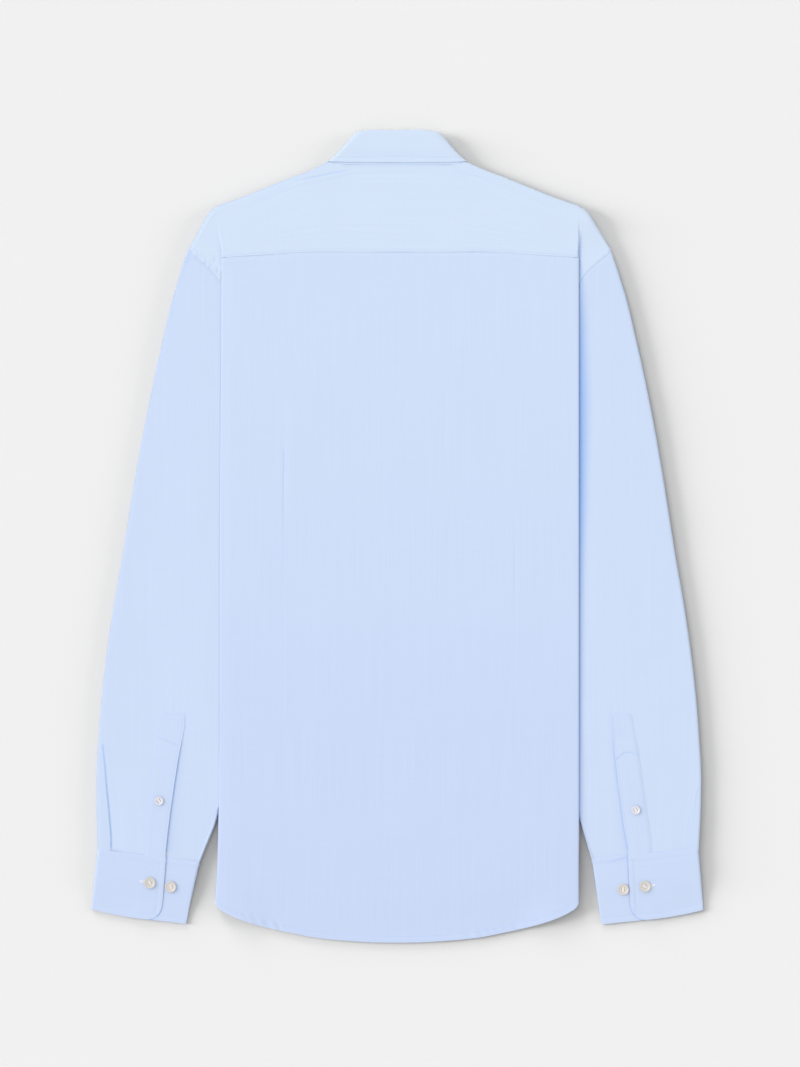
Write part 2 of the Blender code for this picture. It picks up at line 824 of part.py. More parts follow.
def hole_cutter():
    """Four small pins that cut the thread holes."""
    mesh = bmesh.new()
    for quarter in range(4):
        angle = math.pi / 4 + quarter * math.pi / 2
        made = bmesh.ops.create_cone(
            mesh,
            cap_ends=True,
            segments=6,
            radius1=HOLE_RADIUS * MM,
            radius2=HOLE_RADIUS * MM,
            depth=3 * BUTTON_THICK * MM,
        )
        move = [HOLE_OFFSET * MM * math.cos(angle), HOLE_OFFSET * MM * math.sin(angle), 0]
        bmesh.ops.translate(mesh, verts=made["verts"], vec=move)
    data = bpy.data.meshes.new("hole_pins")
    mesh.to_mesh(data)
    mesh.free()
    cutter = bpy.data.objects.new("hole_pins", data)
    cutter.hide_render = True
    cutter.display_type = "WIRE"
    return cutter


def button_places():
    """Where each button lies. up is False for one whose face is on the ground."""
    cuff_top = CUFF_OVERLAP + CUFF_CLOTH / 2 + BUTTON_ROOM
    underlap_top = CUFF_UNDERLAP + CUFF_CLOTH / 2 + BUTTON_ROOM
    placket_top = TUBE_TOP + LAYER + CLOTH / 2 + BUTTON_ROOM
    places = [
        ButtonPlace("cuff_button_left", -246.6, -346.1, BUTTON, cuff_top, True),
        ButtonPlace("cuff_spare_button_left", -225.9, -350.2, BUTTON, underlap_top, True),
        ButtonPlace("sleeve_placket_button_left", -237.4, -264.2, SMALL_BUTTON, placket_top, True),
        ButtonPlace("cuff_button_right", 247.5, -349.7, BUTTON, cuff_top, True),
        ButtonPlace("cuff_spare_button_right", 225.9, -352.8, BUTTON, underlap_top, True),
        ButtonPlace("sleeve_placket_button_right", 238.3, -273.4, SMALL_BUTTON, placket_top, True),
        ButtonPlace("collar_button", 0.0, COLLAR_BUTTON_Y, BUTTON, BUTTON_THICK, False),
    ]
    for count in range(FRONT_BUTTONS):
        y = FRONT_BUTTON_TOP - count * FRONT_BUTTON_STEP
        name = f"front_button_{count + 1}"
        places.append(ButtonPlace(name, 0.0, y, BUTTON, BUTTON_THICK, False))
    return places


def make_buttons(finish):
    """All buttons. Each holds its own copy of the cut, and shares its turned mesh."""
    cutter = hole_cutter()
    meshes = {size: button_mesh(f"button_{size}", size, finish) for size in (BUTTON, SMALL_BUTTON)}
    bpy.context.scene.collection.objects.link(cutter)
    for spot in button_places():
        button = bpy.data.objects.new(spot.name, meshes[spot.diameter])
        bpy.context.scene.collection.objects.link(button)
        pins = cutter.copy()
        bpy.context.scene.collection.objects.link(pins)
        pins.parent = button
        button.location = (spot.x * MM, spot.y * MM, spot.height * MM)
        if not spot.up:
            button.rotation_euler = (math.pi, 0, 0)
        cut = button.modifiers.new("holes", "BOOLEAN")
        cut.operation = "DIFFERENCE"
        cut.solver = "EXACT"
        cut.object = pins
    bpy.data.objects.remove(cutter)


def main():
    for item in list(bpy.data.objects):
        bpy.data.objects.remove(item, do_unlink=True)
    poplin = material("light blue poplin", (0.60, 0.74, 0.94), 0.85)
    banded = material("light blue poplin, interlined", (0.62, 0.76, 0.94), 0.85)
    pearl = material("off-white button resin", (0.78, 0.75, 0.70), 0.3)
    make_back(poplin)
    make_yoke(poplin)
    make_front("front_left", -1, LEFT_LAP_LIFT, poplin)
    make_front("front_right", 1, RIGHT_LAP_LIFT, poplin)
    for name, side in (("left", -1), ("right", 1)):
        make_sleeve(f"sleeve_{name}", side, poplin)
        make_sleeve_placket(f"sleeve_placket_{name}", side, banded)
        make_cuff(f"cuff_{name}", side, banded)
    make_collar_stand(banded)
    make_collar_fall(banded)
    make_buttons(pearl)


main()
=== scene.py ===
"""Looks of a light blue poplin shirt that lies flat with its back up.

Panels are sheets of points in millimetres, worked out for the wearer's right and placed
on either side by place(). Every height is that of the middle of the cloth. +Y is towards
the collar, +X is the wearer's right and z = 0 is what the shirt lies on.
"""

import json
import math
from collections import namedtuple
from functools import partial

import bmesh
import bpy
import numpy as np
from mathutils import Matrix, Vector
from mathutils.kdtree import KDTree

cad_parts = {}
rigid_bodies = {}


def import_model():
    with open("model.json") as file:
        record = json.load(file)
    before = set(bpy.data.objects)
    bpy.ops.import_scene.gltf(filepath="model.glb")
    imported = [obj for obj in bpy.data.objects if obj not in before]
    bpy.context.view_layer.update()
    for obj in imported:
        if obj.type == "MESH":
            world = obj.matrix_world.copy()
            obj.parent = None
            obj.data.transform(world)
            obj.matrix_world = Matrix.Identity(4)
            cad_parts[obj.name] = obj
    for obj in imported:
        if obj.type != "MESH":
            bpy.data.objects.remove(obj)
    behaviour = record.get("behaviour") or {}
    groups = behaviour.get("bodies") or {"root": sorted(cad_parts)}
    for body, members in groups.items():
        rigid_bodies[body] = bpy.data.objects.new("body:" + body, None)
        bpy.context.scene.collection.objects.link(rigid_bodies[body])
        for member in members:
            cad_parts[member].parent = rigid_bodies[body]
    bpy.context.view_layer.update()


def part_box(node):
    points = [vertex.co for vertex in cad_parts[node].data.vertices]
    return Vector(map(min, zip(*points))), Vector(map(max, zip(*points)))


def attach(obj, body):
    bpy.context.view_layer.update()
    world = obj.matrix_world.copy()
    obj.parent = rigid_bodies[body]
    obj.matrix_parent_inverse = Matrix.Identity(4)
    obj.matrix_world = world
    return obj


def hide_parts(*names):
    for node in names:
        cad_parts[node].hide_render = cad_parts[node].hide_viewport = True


bl_info = {
    "name": "Laid Shirt",
    "version": (1, 0, 0),
    "blender": (4, 5, 0),
    "location": "View3D > Sidebar > Shirt",
    "description": "Builds the cloth, sewing and buttons of a shirt laid on its front",
    "category": "Add Mesh",
}

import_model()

MM = 0.001
RIGHT = 1
LEFT = -1
SIDES = {"left": LEFT, "right": RIGHT}
# The body's two layers
BACK = 0
FRONT = 1


def low_high(node):
    """Lowest and highest corner of a CAD node, in millimetres."""
    return [[value / MM for value in corner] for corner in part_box(node)]


def middle(node):
    """Middle of a CAD node, in millimetres."""
    return [(low + high) / 2 for low, high in zip(*low_high(node))]


HEM_LOW = low_high("back")[0][1]
COLLAR_TOP = low_high("collar_fall")[1][1]
FOLD_EDGE = low_high("back")[1][0]

# Layers of cloth: how far they lie apart, how full a sleeve is, and how far a sleeve and a
# button lift the cloth over them
LAYER = 1.6
PUFF = 5.0
SLEEVE_LIFT = 2 * LAYER
BUTTON_LIFT = 2.5
# How square a pressed fold is: 1 is round, and less is flatter on top.
PRESSED = 0.65
# Angles round a fold, from its upper side to its lower one
HALF_TURN = np.radians([90, 75, 60, 45, 30, 15, 0, -15, -30, -45, -60, -75, -90])

# Body: x where its side folds start, the back's length up to the yoke's seam, x and y of
# the underarm, and about y of the hem at the side folds
BODY_FOLD = FOLD_EDGE - 3.0
BACK_LONG = 690.0
UNDERARM = (87.0, 76.0)
SIDE_HEM = -372.0
# How far the fronts run past the centre, x between which that lap comes down to the cloth
# beside it, and how much higher their hem is than the back's
FRONT_LAP = 16.0
LAP_EASE = (18, 48)
FRONT_RISE = 12.0
# The margins, which are the parts turned under: how steeply their hem climbs as it runs in
# from the fold, x where it stops climbing, and x of their columns of points
MARGIN_HEM_SLOPE = 0.6
MARGIN_EDGE = 97.0
MARGIN_COLUMNS = (174, 168, 162, 154, 145, 136, 127, 118, 110, 102, 87)
# How far the body stays lifted past what lies below it, and how far it then takes to come down
CLEAR = 30.0
SLOPE = 48.0

# Yoke: how far the back runs up below it, how far it runs over the shoulder to the front, x
# where its low edge goes from its seam with the back to the armhole, and half the neck
YOKE_LAP = 6.0
FORWARD_SEAM = 20.0
YOKE_CORNER = 181.7
NECK_HALF = 66.0
# Rows of points up the yoke's back, and how many of them are close to its top
YOKE_ROWS = 54
YOKE_TOP_ROWS = 15

# Sleeves: their underside ends below the body's fold, and steps up to the tip outside it
UNDER_TOP = 279.5
UNDER_STEP = 5.2
UNDER_OUTER = (210.2, 212.4)
UNDER_SHARES = (0.15, 0.3, 0.45, 0.6, 0.75, 0.9, 1)
UNDERARM_TURN = np.radians([0, 30, 60])

# Sleeve plackets: y of their end, and about y of the row of stitches that closes the slit
PLACKET_TOP = -176.0
PLACKET_BOX = -216.0
PLACKET_WIDE = 23.0

# Cuffs: their height, the radius of their corners, the width that their stitches are laid
# out on, where the underlap ends as a share of the width, and the stitches below their seam
CUFF_TALL = 63.0
CUFF_ROUND = 17.0
CUFF_SEWN = 96.0
UNDER_END = 0.53
BAND_SEAM = 6.3

# Collar: y that its roll is placed from, the roll's radius, how far the fall stands off the
# stand, and the columns of points in half of each
ROLL_TOP = COLLAR_TOP - 2.9
ROLL_ROUND = 1.6
FALL_GAP = 0.8
STAND_COLUMNS = 64
FALL_COLUMNS = 72

# Rows of stitches, from the edge that each follows
HEM_STITCH = 5.7
YOKE_STITCH = 1.7
NECK_STITCH = 1.4
BAND_STITCH = 1.8
CUFF_STITCH = 5.6
FALL_STITCH = 5.5

# Buttons: their thickness and the width of their rim, how far out their four holes are and
# the holes' radius, the radius of a strand of thread, and how far it holds them off the cloth
BUTTON_THICK = 2.2
BUTTON_RIM = 1.1
HOLE_OFFSET = 1.45
HOLE_RADIUS = 0.75
STRAND = 0.33
SHANK = 0.25
# Buttonholes: how far the middle of each lies from its button, and its length and width
HOLE_SHIFT = 3.7
HOLE_LONG = 13.0
HOLE_WIDE = 1.9

Place = namedtuple("Place", "x y")
CollarRow = namedtuple("CollarRow", "turn neck roll edge")
Dart = namedtuple("Dart", "line strong_top strong_low top low strength")
Sewn = namedtuple("Sewn", "name face_up spin tilt")
Cut = namedtuple("Cut", "width length area tone banded crosswise")

# How far the wearer's left edge lies inside the mirror image of the right one, by y.
LEFT_INSET = [
    (SIDE_HEM, 0), (-304, 3), (-264, 4), (36, 4.5), (136, 5.5), (255, 6), (288, 6), (300, 4.8),
    (318, 3.4), (330, 3), (350, 3), (364, 6), (372, 3),
]

# Outer edge of the right sleeve, its x by y.
SLEEVE_OUTER = [
    (-316, 301.3), (-290, 302.8), (-264, 303.7), (-234, 303.8), (-204, 302.0), (-164, 299.0),
    (-104, 292.0), (-64, 286.0), (-24, 279.0), (36, 269.5), (76, 263.0), (136, 252.0),
    (196, 239.0), (246, 226.5), (267, 219.4), (286, 212.3),
]

# Underarm edge of each sleeve, its x by y. Most of it lies under the body.
SLEEVE_INNER = {
    RIGHT: [(-323, 194.7), (-304, 188.9), (-286, 183.4), (-279, 181.6), (76, 87.0)],
    LEFT: [(-327, 199.7), (-307, 192.6), (-289, 185.6), (-279, 183.0), (76, 87.0)],
}

# Fold of the pleat beside each cuff, and the two edges of each sleeve placket, x by y.
PLEAT = {
    RIGHT: [(-311, 292.4), (-289, 293.9), (-266, 297.5), (-251, 300.6)],
    LEFT: [(-311, 288.4), (-301, 288.6), (-276, 291.3), (-252, 294.0), (-231, 295.6), (-209, 298.0)],
}
PLACKET_LAP = {
    RIGHT: [(-312, 230.7), (-287, 226.0), (-264, 223.0), (-241, 219.9), (-213, 216.9), (-164, 212.8)],
    LEFT: [(-314, 233.5), (-297, 232.2), (-274, 229.9), (-252, 226.9), (-225, 222.8), (-189, 215.9)],
}
PLACKET_SEAM = {
    RIGHT: [(-304, 253.6), (-276, 249.5), (-256, 246.5), (-241, 244.4), (-215, 240.9), (-176, 234.6)],
    LEFT: [(-304, 254.4), (-282, 254.4), (-241, 249.4), (-215, 246.8), (-176, 240.6)],
}

# Shoulder and armhole, their y by x, and the side seam, its x by y.
SHOULDER = [
    (64, 375.0), (70, 373.2), (77, 370.2), (90, 364.6), (106, 358.8), (122, 352.4), (138, 345.8),
    (155, 339.0), (170, 333.6), (181, 329.7), (187, 326.2), (191, 322.6), (194.9, 316.8),
    (202.3, 304.6), (208.8, 294.0), (213.9, 285.4),
]
ARMHOLE = [
    (87, 76), (104, 90), (124, 115), (145, 150), (163, 195), (176, 238), (181.5, 252),
    (186.5, 260), (192, 265.8), (202.3, 274.7), (213.7, 284),
]
SIDE_SEAM = [(SIDE_HEM, MARGIN_EDGE), (-200, 104), (0, 106), (76, 87)]

# Shirt-tail hem above its lowest point, yoke seam, neck and front neckline, their y by x.
HEM_RISE = [
    (0, 0.0), (23, 0.3), (43, 1.4), (63, 3.0), (83, 5.3), (103, 9.2), (123, 13.5), (143, 18.8),
    (157, 23.6), (166, 27.4), (173, 31.2), (178.5, 35.0), (182, 40.0),
]
YOKE_SEAM = [
    (0, 283.4), (35, 283.2), (79, 283.7), (110, 282.6), (140, 280.4), (162, 279.2), (180, 277.9),
]
NECK_SEAM = [(0, 370.4), (50, 370.4), (58, 370.8), (66, 371.6), (76, 372.0)]
NECKLINE = [(0, 288), (26, 294), (48, 312), (62, 340), (72, 352)]

# Half of the collar, from the centre back to the centre front, with its roll's y from ROLL_TOP.
COLLAR = [
    CollarRow(90, Place(0, 370.6), Place(0, -1.3), Place(0, 372.9)),
    CollarRow(90, Place(18, 370.6), Place(12, -1.2), Place(20, 372.9)),
    CollarRow(90, Place(48, 370.7), Place(29.0, -1.0), Place(52, 373.2)),
    CollarRow(90, Place(61, 371.0), Place(36, -2.0), Place(64, 373.4)),
    CollarRow(45, Place(66.5, 371.4), Place(39.0, -3.8), Place(66.8, 371.9)),
    CollarRow(0, Place(68, 371.2), Place(40.4, -5.9), Place(67.8, 370.8)),
    CollarRow(-45, Place(67, 370.4), Place(41, -7.6), Place(68, 369.6)),
    CollarRow(-90, Place(65, 369.0), Place(41, -10.2), Place(67.4, 368.0)),
    CollarRow(-90, Place(62, 342.0), Place(45, -33.6), Place(69, 335.0)),
    CollarRow(-90, Place(48, 314.0), Place(37, -59.6), Place(61, 298.0)),
    CollarRow(-90, Place(26, 297.0), Place(20, -76.6), Place(54, 278.0)),
    CollarRow(-90, Place(4, 290.0), Place(4, -84.6), Place(47, 262.0)),
]

# Corners of each cuff laid flat: the ends of its top edge, then of its bottom edge.
CUFF_CORNERS = {
    RIGHT: [Place(194.4, -321.5), Place(301.2, -312.0), Place(204.4, -388.4), Place(306.6, -373.6)],
    LEFT: [Place(199.2, -325.0), Place(301.8, -312.6), Place(210.6, -387.9), Place(305.8, -372.6)],
}
# Where the overlap ends on each cuff, as a share of its width, at its top and its bottom.
OVERLAP = {RIGHT: (0.338, 0.288), LEFT: (0.328, 0.26)}

# The back's darts: x of each, the y between which it is sharp and shows at all, its depth.
DARTS = {
    RIGHT: Dart(118.0, 20.0, -60.0, 14.0, -252.0, 0.30),
    LEFT: Dart(116.6, 88.0, 12.0, 92.0, -232.0, 0.75),
}

# Dimples that the stitches pull in the cloth where the left sleeve is sewn in, x and y.
DIMPLES = [
    (188.2, 275.8), (192.5, 269.5), (197.2, 271.6), (185.4, 264.6), (203.5, 277.8), (206.5, 276.4),
    (190.4, 262.2),
]


# Shade painted along creases where cloth meets cloth, and along edges that catch the key light, as x and y
# along each, how far it reaches from there and how deep it is, from 0 to 1. They are worked out for the
# wearer's right, like the panels.
def shade_along(rows, reach, depth, shift=0.0):
    """Painted shade of even depth along an edge that a table gives as x by y."""
    return [(x - shift, y, reach, depth) for y, x in rows]


def lap_shade(side, depth, top_depth):
    """Painted shade beside a sleeve placket, shallower above its last row."""
    rows = PLACKET_LAP[side]
    return shade_along(rows[:-1], 2.6, depth, 0.4) + shade_along(rows[-1:], 2.6, top_depth, 0.4)


# Painted shade shows above this height only, and not on the layers next to the ground.
SHADE_OVER = 1.1
# Painted shade on the sleeves and yoke beside the body's folds, darkest on the wearer's right
BODY_CREASE_SHADE = [
    (183.8, 305, 1.4, 0.0),
    (183.6, 300, 1.5, 0.3),
    (183.0, 290, 1.9, 0.45),
    (182.2, 274, 3.2, 0.5),
    (181.8, 250, 8, 0.5),
    (181.8, 236, 10, 0.5),
    (181.8, 190, 13, 0.7),
    (181.8, 136, 15, 0.82),
    (181.8, 36, 12, 0.82),
    (181.8, -64, 6.5, 0.56),
    (181.8, -164, 5.5, 0.48),
    (181.8, -290, 5, 0.42),
]
LEFT_BODY_CREASE_SHADE = [
    (183.8, 306, 2, 0.0),
    (183.6, 296, 2.5, 0.08),
    (182.2, 270, 2.5, 0.12),
    (181.8, 100, 2, 0.12),
    (181.8, -290, 2, 0.1),
]
# Painted shade along the rows of stitches across the right placket's box: x, y and depth
BOX_SHADE = [(219.6, -222, 0.25), (227, -216.2, 0.25), (235, -216.2, 0.18), (242, -220, 0.1)]
# Painted shade along the soft crease from the neck over each shoulder
NECK_CREASE_SHADE = [
    (46, 366.0, 1.5, 0.1),
    (60, 363.2, 1.9, 0.28),
    (90, 357.2, 1.9, 0.28),
    (110, 353.0, 1.5, 0.0),
]
# Reach and depth of shade painted along the outer edge of the left shoulder and sleeve, which darkens the rim
# that the key light brightens
OUTER_RIM_SHADE = (3.2, 0.34)
DIMPLE_SHADES = [(LEFT, [(x - 0.7, y + 1.4, 1.5, 0.22), (x + 0.7, y - 1.4, 1.5, 0.22)]) for x, y in DIMPLES]
PAINTED_SHADES = {
    "sleeve_right": [
        (RIGHT, BODY_CREASE_SHADE),
        (RIGHT, shade_along(PLEAT[RIGHT], 1.6, 0.22)),
        (RIGHT, lap_shade(RIGHT, 0.28, 0.0)),
    ],
    "sleeve_left": [
        (LEFT, LEFT_BODY_CREASE_SHADE),
        (LEFT, shade_along(SLEEVE_OUTER, *OUTER_RIM_SHADE)),
        (LEFT, shade_along(PLEAT[LEFT], 1.5, 0.65, 0.2)),
        (LEFT, lap_shade(LEFT, 0.45, 0.05)),
        *DIMPLE_SHADES,
    ],
    "yoke": [
        (RIGHT, BODY_CREASE_SHADE[:5]),
        (LEFT, LEFT_BODY_CREASE_SHADE[:3]),
        (LEFT, NECK_CREASE_SHADE),
        (LEFT, [(x, y, *OUTER_RIM_SHADE) for x, y in SHOULDER]),
        (RIGHT, [(x, y, reach, depth / 3) for x, y, reach, depth in NECK_CREASE_SHADE]),
        *DIMPLE_SHADES,
        (LEFT, [(x, y + 5.6, 1.2, 0.16) for x, y in ARMHOLE[6:]]),
    ],
    "sleeve_placket_right": [
        (RIGHT, [(x, y, 1.6, depth) for x, y, depth in BOX_SHADE]),
    ],
    "sleeve_placket_left": [(LEFT, [(224, -208.5, 1.6, 0.15), (242, -200.8, 1.6, 0.1)])],
    "collar_stand": [
        (side, [(0, 372.8, 1.5, 0.35), (50, 372.9, 1.5, 0.35), (66, 372.8, 1.5, 0.35)])
        for side in (LEFT, RIGHT)
    ],
    "cuff_right": [(RIGHT, [(207, -325.9, 1.5, 0.0), (214, -324.6, 1.7, 0.3), (230, -320.4, 1.7, 0.4)])],
    # On the back, painted shade dims the lit edge of the left fold and darkens the left dart's line
    "back": [
        (LEFT, [(182.6, 262, 1.6, 0.12), (182.6, -300, 1.6, 0.12)]),
        (LEFT, [(116.6, y, 1.8, depth) for y, depth in ((90, 0.0), (80, 0.2), (20, 0.16), (-60, 0.0))]),
    ],
}

# Each panel as cut flat: its width and length in metres, its area, how pale it is drawn, from 0 to 1, alike
# all over or by y, paler towards the top on the back, and whether it is interlined and cut across the cloth.
BACK_TONE = [(-300, 0.0), (-200, 0.05), (30, 0.4), (240, 0.55)]
CUTS = {
    "back": Cut(0.560, 0.700, 0.330, BACK_TONE, False, False),
    "yoke": Cut(0.470, 0.130, 0.046, 0.95, False, True),
    "front_left": Cut(0.300, 0.760, 0.180, 0.4, False, False),
    "front_right": Cut(0.300, 0.760, 0.180, 0.4, False, False),
    "sleeve_left": Cut(0.400, 0.620, 0.190, 0.42, False, False),
    "sleeve_right": Cut(0.400, 0.620, 0.190, 0.46, False, False),
    "sleeve_placket_left": Cut(0.024, 0.140, 0.0032, 0.25, True, False),
    "sleeve_placket_right": Cut(0.024, 0.140, 0.0032, 0.3, True, False),
    "cuff_left": Cut(0.250, 0.064, 0.0150, 0.15, True, True),
    "cuff_right": Cut(0.250, 0.064, 0.0150, 0.2, True, True),
    "collar_stand": Cut(0.400, 0.034, 0.0115, 0.95, True, True),
    "collar_fall": Cut(0.420, 0.075, 0.0170, 1.0, True, True),
}

# How each button is sewn on: face up or down, turned and tilted, in radians.
BUTTONS = [
    Sewn("cuff_button_left", True, 0.5, 0.03),
    Sewn("cuff_spare_button_left", True, 0.2, -0.04),
    Sewn("sleeve_placket_button_left", True, 0.6, 0.05),
    Sewn("cuff_button_right", True, 0.9, 0.03),
    Sewn("cuff_spare_button_right", True, 0.1, -0.03),
    Sewn("sleeve_placket_button_right", True, 0.4, -0.04),
    Sewn("collar_button", False, 0.3, 0.0),
    *[Sewn(f"front_button_{count}", False, 0.35 * count, 0.0) for count in range(1, 7)],
]

# The stage: how far the paper lies below the cloth, where the camera looks straight down
# and where the high softbox stands, in plan.
PAPER_GAP = 0.2
VIEW_MIDDLE = (0.003, 0.0025)
KEY_SIDE = (-1.0, 0.45)
SENSOR = 36.0
# Where each low softbox stands in plan, and its share of their light.
SKIMS = {
    "skim_left": ((-1.0, 0.12), 0.60),
    "skim_top": ((-0.45, 1.0), 0.25),
    "skim_right": ((1.0, 0.1), 0.15),
}


# Tables, curves and places


def read(table, at):
    """Value of a table at a place, on straight lines between its rows."""
    rows = np.array(table, dtype=float)
    return np.interp(at, rows[:, 0], rows[:, 1])


def curve(table, at):
    """Value of a table at a place, on a smooth curve through its rows."""
    places, values = np.array(table, dtype=float).T
    slopes = np.gradient(values, places)
    at = np.clip(np.asarray(at, dtype=float), places[0], places[-1])
    low = np.clip(np.searchsorted(places, at, side="right") - 1, 0, len(places) - 2)
    run = places[low + 1] - places[low]
    share = (at - places[low]) / run
    square, cube = share**2, share**3
    return (
        values[low] * (2 * cube - 3 * square + 1)
        + slopes[low] * run * (cube - 2 * square + share)
        + values[low + 1] * (3 * square - 2 * cube)
        + slopes[low + 1] * run * (cube - square)
    )


def mix(low, high, share):
    """The value a share of the way from low to high."""
    return low + (high - low) * share


def rise(value, start, end):
    """0 up to start, 1 from end on, and a smooth rise between them."""
    share = np.clip((value - start) / (end - start), 0.0, 1.0)
    return share * share * (3 - 2 * share)


def fall(value, start, end):
    """1 up to start, 0 from end on, and a smooth fall between them."""
    return 1 - rise(value, start, end)


def bump(distance, width):
    """1 at no distance, falling smoothly to nothing a few widths away."""
    return np.exp(-((distance / width) ** 2))


def ripple(x, y, seed, length, count=6):
    """Smooth uneven waves about length long, from -1 to 1, the same on every run."""
    draws = np.random.RandomState(seed)
    total = np.zeros(np.broadcast(x, y).shape)
    for _ in range(count):
        heading = draws.uniform(0, math.pi)
        wave = length * draws.uniform(0.7, 1.5)
        phase = draws.uniform(0, 2 * math.pi)
        along = x * math.cos(heading) + y * math.sin(heading)
        total = total + np.sin(2 * math.pi * along / wave + phase)
    return total / count


def row_ripple(along, seed, length):
    """Uneven waves along a seam, about length long, from -1 to 1."""
    drift = 0.35 * np.sin(along / length * 0.9 + seed) + 0.3 * np.sin(along / length * 0.37 + 2 * seed)
    fade = 0.6 + 0.4 * np.sin(along / length * 0.53 + 3 * seed)
    return fade * np.sin(2 * math.pi * (along / length + drift))


def run_of(points):
    """How far along a row of points each one lies."""
    return np.concatenate([[0.0], np.cumsum(np.linalg.norm(np.diff(points, axis=0), axis=1))])


def steps(*knots):
    """Numbers through (value, count) knots: each value, then count even parts to the next."""
    values = []
    for (low, count), (high, _) in zip(knots, knots[1:]):
        values += list(np.linspace(low, high, count, endpoint=False))
    return np.array(values + [knots[-1][0]])


def place(side, x, y, z):
    """Points worked out for the wearer's right, put on that side, as one array."""
    x, y, z = np.broadcast_arrays(np.asarray(x, float), y, z)
    if side == LEFT:
        x = read(LEFT_INSET, y) * np.minimum(x / 150.0, 1.0) - x
    return np.stack([x, y, z], axis=-1)


def both(half):
    """One array right across the shirt from half(side), which starts at the centre line."""
    return np.concatenate([half(LEFT)[::-1], half(RIGHT)[1:]], axis=0)


# Heights of the layers


def cloth_wall():
    """Thickness of the cloth."""
    return bpy.context.scene.shirt_cloth.wall / MM


def on_top():
    """How far above the middle of the cloth its thread lies."""
    return cloth_wall() / 2 + 0.05


def floor_cloth():
    """Height of cloth that lies on the ground."""
    return cloth_wall() / 2


def tube_top():
    """Height of the top of a full sleeve."""
    return floor_cloth() + PUFF


def lap_lift(side):
    """How far a front's lap lies over the ground, on its buttons and the other lap."""
    return BUTTON_LIFT if side == LEFT else BUTTON_LIFT + LAYER


def hem_line(x):
    """y of the back's hem."""
    return HEM_LOW + curve(HEM_RISE, np.abs(x))


def sleeve_below(x, y):
    """1 where a sleeve lies under the body, easing to 0 around it."""
    across = fall(read(SLEEVE_INNER[RIGHT], y) - x, CLEAR, CLEAR + SLOPE)
    above = fall(y - read(ARMHOLE, x), CLEAR, CLEAR + SLOPE)
    return across * above * rise(y, SIDE_HEM, SIDE_HEM + 60)


def margin_below(x, y):
    """1 where the turned-under sides lie below the front, easing to 0 around them."""
    clear = mix(2 * CLEAR, 6, rise(x, 145, 175))
    return rise(x, 48, 80) * fall(y - read(ARMHOLE, x) - clear, 0, SLOPE)


def near_collar(x, y):
    """1 over the collar's points, easing to 0 around them."""
    return fall(np.abs(x), 85, 120) * rise(y, 205, 245)


def hem_droop(x, y, above):
    """1 where the body hangs free of its turned-under sides, near its hem, easing to 0."""
    return fall(np.abs(x), 120, 160) * fall(y - hem_line(x) - above, 0, 50)


def back_height(y):
    """Height of the body's upper side: full under the yoke, low at the hem and the neck."""
    hem_drop = SLEEVE_LIFT * fall(y, -376, -296)
    return floor_cloth() + 5 * LAYER + 0.1 - hem_drop - 2.3 * rise(y, 285, 375)


def front_height(side, x, y):
    """Height of a front, over what is turned under it, its buttons and the collar's points."""
    out = np.abs(x)
    under = margin_below(out, y) * (1 + sleeve_below(out, y)) * (1 - hem_droop(x, y, FRONT_RISE))
    lap = lap_lift(side)
    lift = np.where(y > -240, lap, 0.45 * (lap - BUTTON_LIFT)) * fall(out, *LAP_EASE)
    return floor_cloth() + SLEEVE_LIFT * under + np.maximum(lift, LAYER * near_collar(x, y))


def margin_height(x, y, layer):
    """Height of the turned-under side of one of the body's layers."""
    return floor_cloth() + layer * LAYER + SLEEVE_LIFT * sleeve_below(x, y)


def sleeve_height(side, x, y):
    """Height of a sleeve's upper side: pressed flat under the body, full beside it."""
    pressed = floor_cloth() + LAYER
    beside = x - BODY_FOLD
    quick = rise(beside, 1.75, 3.65 if side == RIGHT else 2.75)
    far = rise(beside, 0.5, 60.5)
    if side == RIGHT:
        slow = 0.75 * rise(beside, 0.5, 0.5 + mix(16, 38, rise(y, -200, 200))) + 0.25 * far
        return mix(pressed, tube_top(), mix(slow, quick, mix(0.6, 1.0, rise(y, 215, 260))))
    crowd = 2.5 * rise(y, -300, -210) * quick * fall(beside, 7, 77)
    return mix(pressed, tube_top(), 0.8 * quick + 0.2 * far) + crowd


# Relief of each panel, added to its height. x is positive on both sides.


def back_relief(side, x, y):
    """Darts, hem, seams and slack of the back."""
    signed = x * side
    edge = y - hem_line(x)
    seam = read(YOKE_SEAM, x) - y
    slack = 0.28 * ripple(signed, y, 11, 95) + 0.10 * ripple(signed, y * 0.45, 12, 34)
    hem = 0.2 * fall(edge, 5.6, 7.0) - 0.26 * bump(edge - HEM_STITCH, 0.7)
    pucker = 0.55 * rise(x, 20, 80) * row_ripple(signed + edge * 0.5, 3, 9.5) * bump(edge - 3.5, 5.5)
    under_yoke = -mix(0.6, 0.5, rise(x, 60, 140)) * fall(seam, 0.3, 4.8)
    allowance = 0.12 * fall(seam, 2, 14) + 0.10 * row_ripple(signed, 8, 17) * bump(seam - 3, 5)
    lift = slack * rise(edge, 0, 25) + hem + pucker + under_yoke + allowance - 3.4 * hem_droop(x, y, 0.0)
    if side == LEFT:
        lift = lift - 0.55 * rise(x, BODY_FOLD - 9, BODY_FOLD) * fall(y, 262, 276)
    return lift + dart_relief(side, x, y)


def dart_relief(side, x, y):
    """A stitched dart on each side of the back: a sharp line with a soft swell beside it."""
    dart = DARTS[side]
    sharp = fall(y, dart.strong_top - 4, dart.strong_top + 4)
    sharp = sharp * rise(y, dart.strong_low - 15, dart.strong_low + 15)
    faint = fall(y, dart.top - 40, dart.top) * rise(y, dart.low, dart.low + 60)
    depth = dart.strength * sharp + 0.25 * faint
    away = x - dart.line
    lift = depth * (0.16 * bump(away + 5.5, 4.5) - 0.38 * bump(away, 1.1))
    if side == LEFT:
        slant = (y - 17) / 14 - (108 - x) / 15
        lift = lift + 0.22 * bump(slant, 0.22) * bump(x - 99, 10) * bump(y - 24, 12)
    return lift


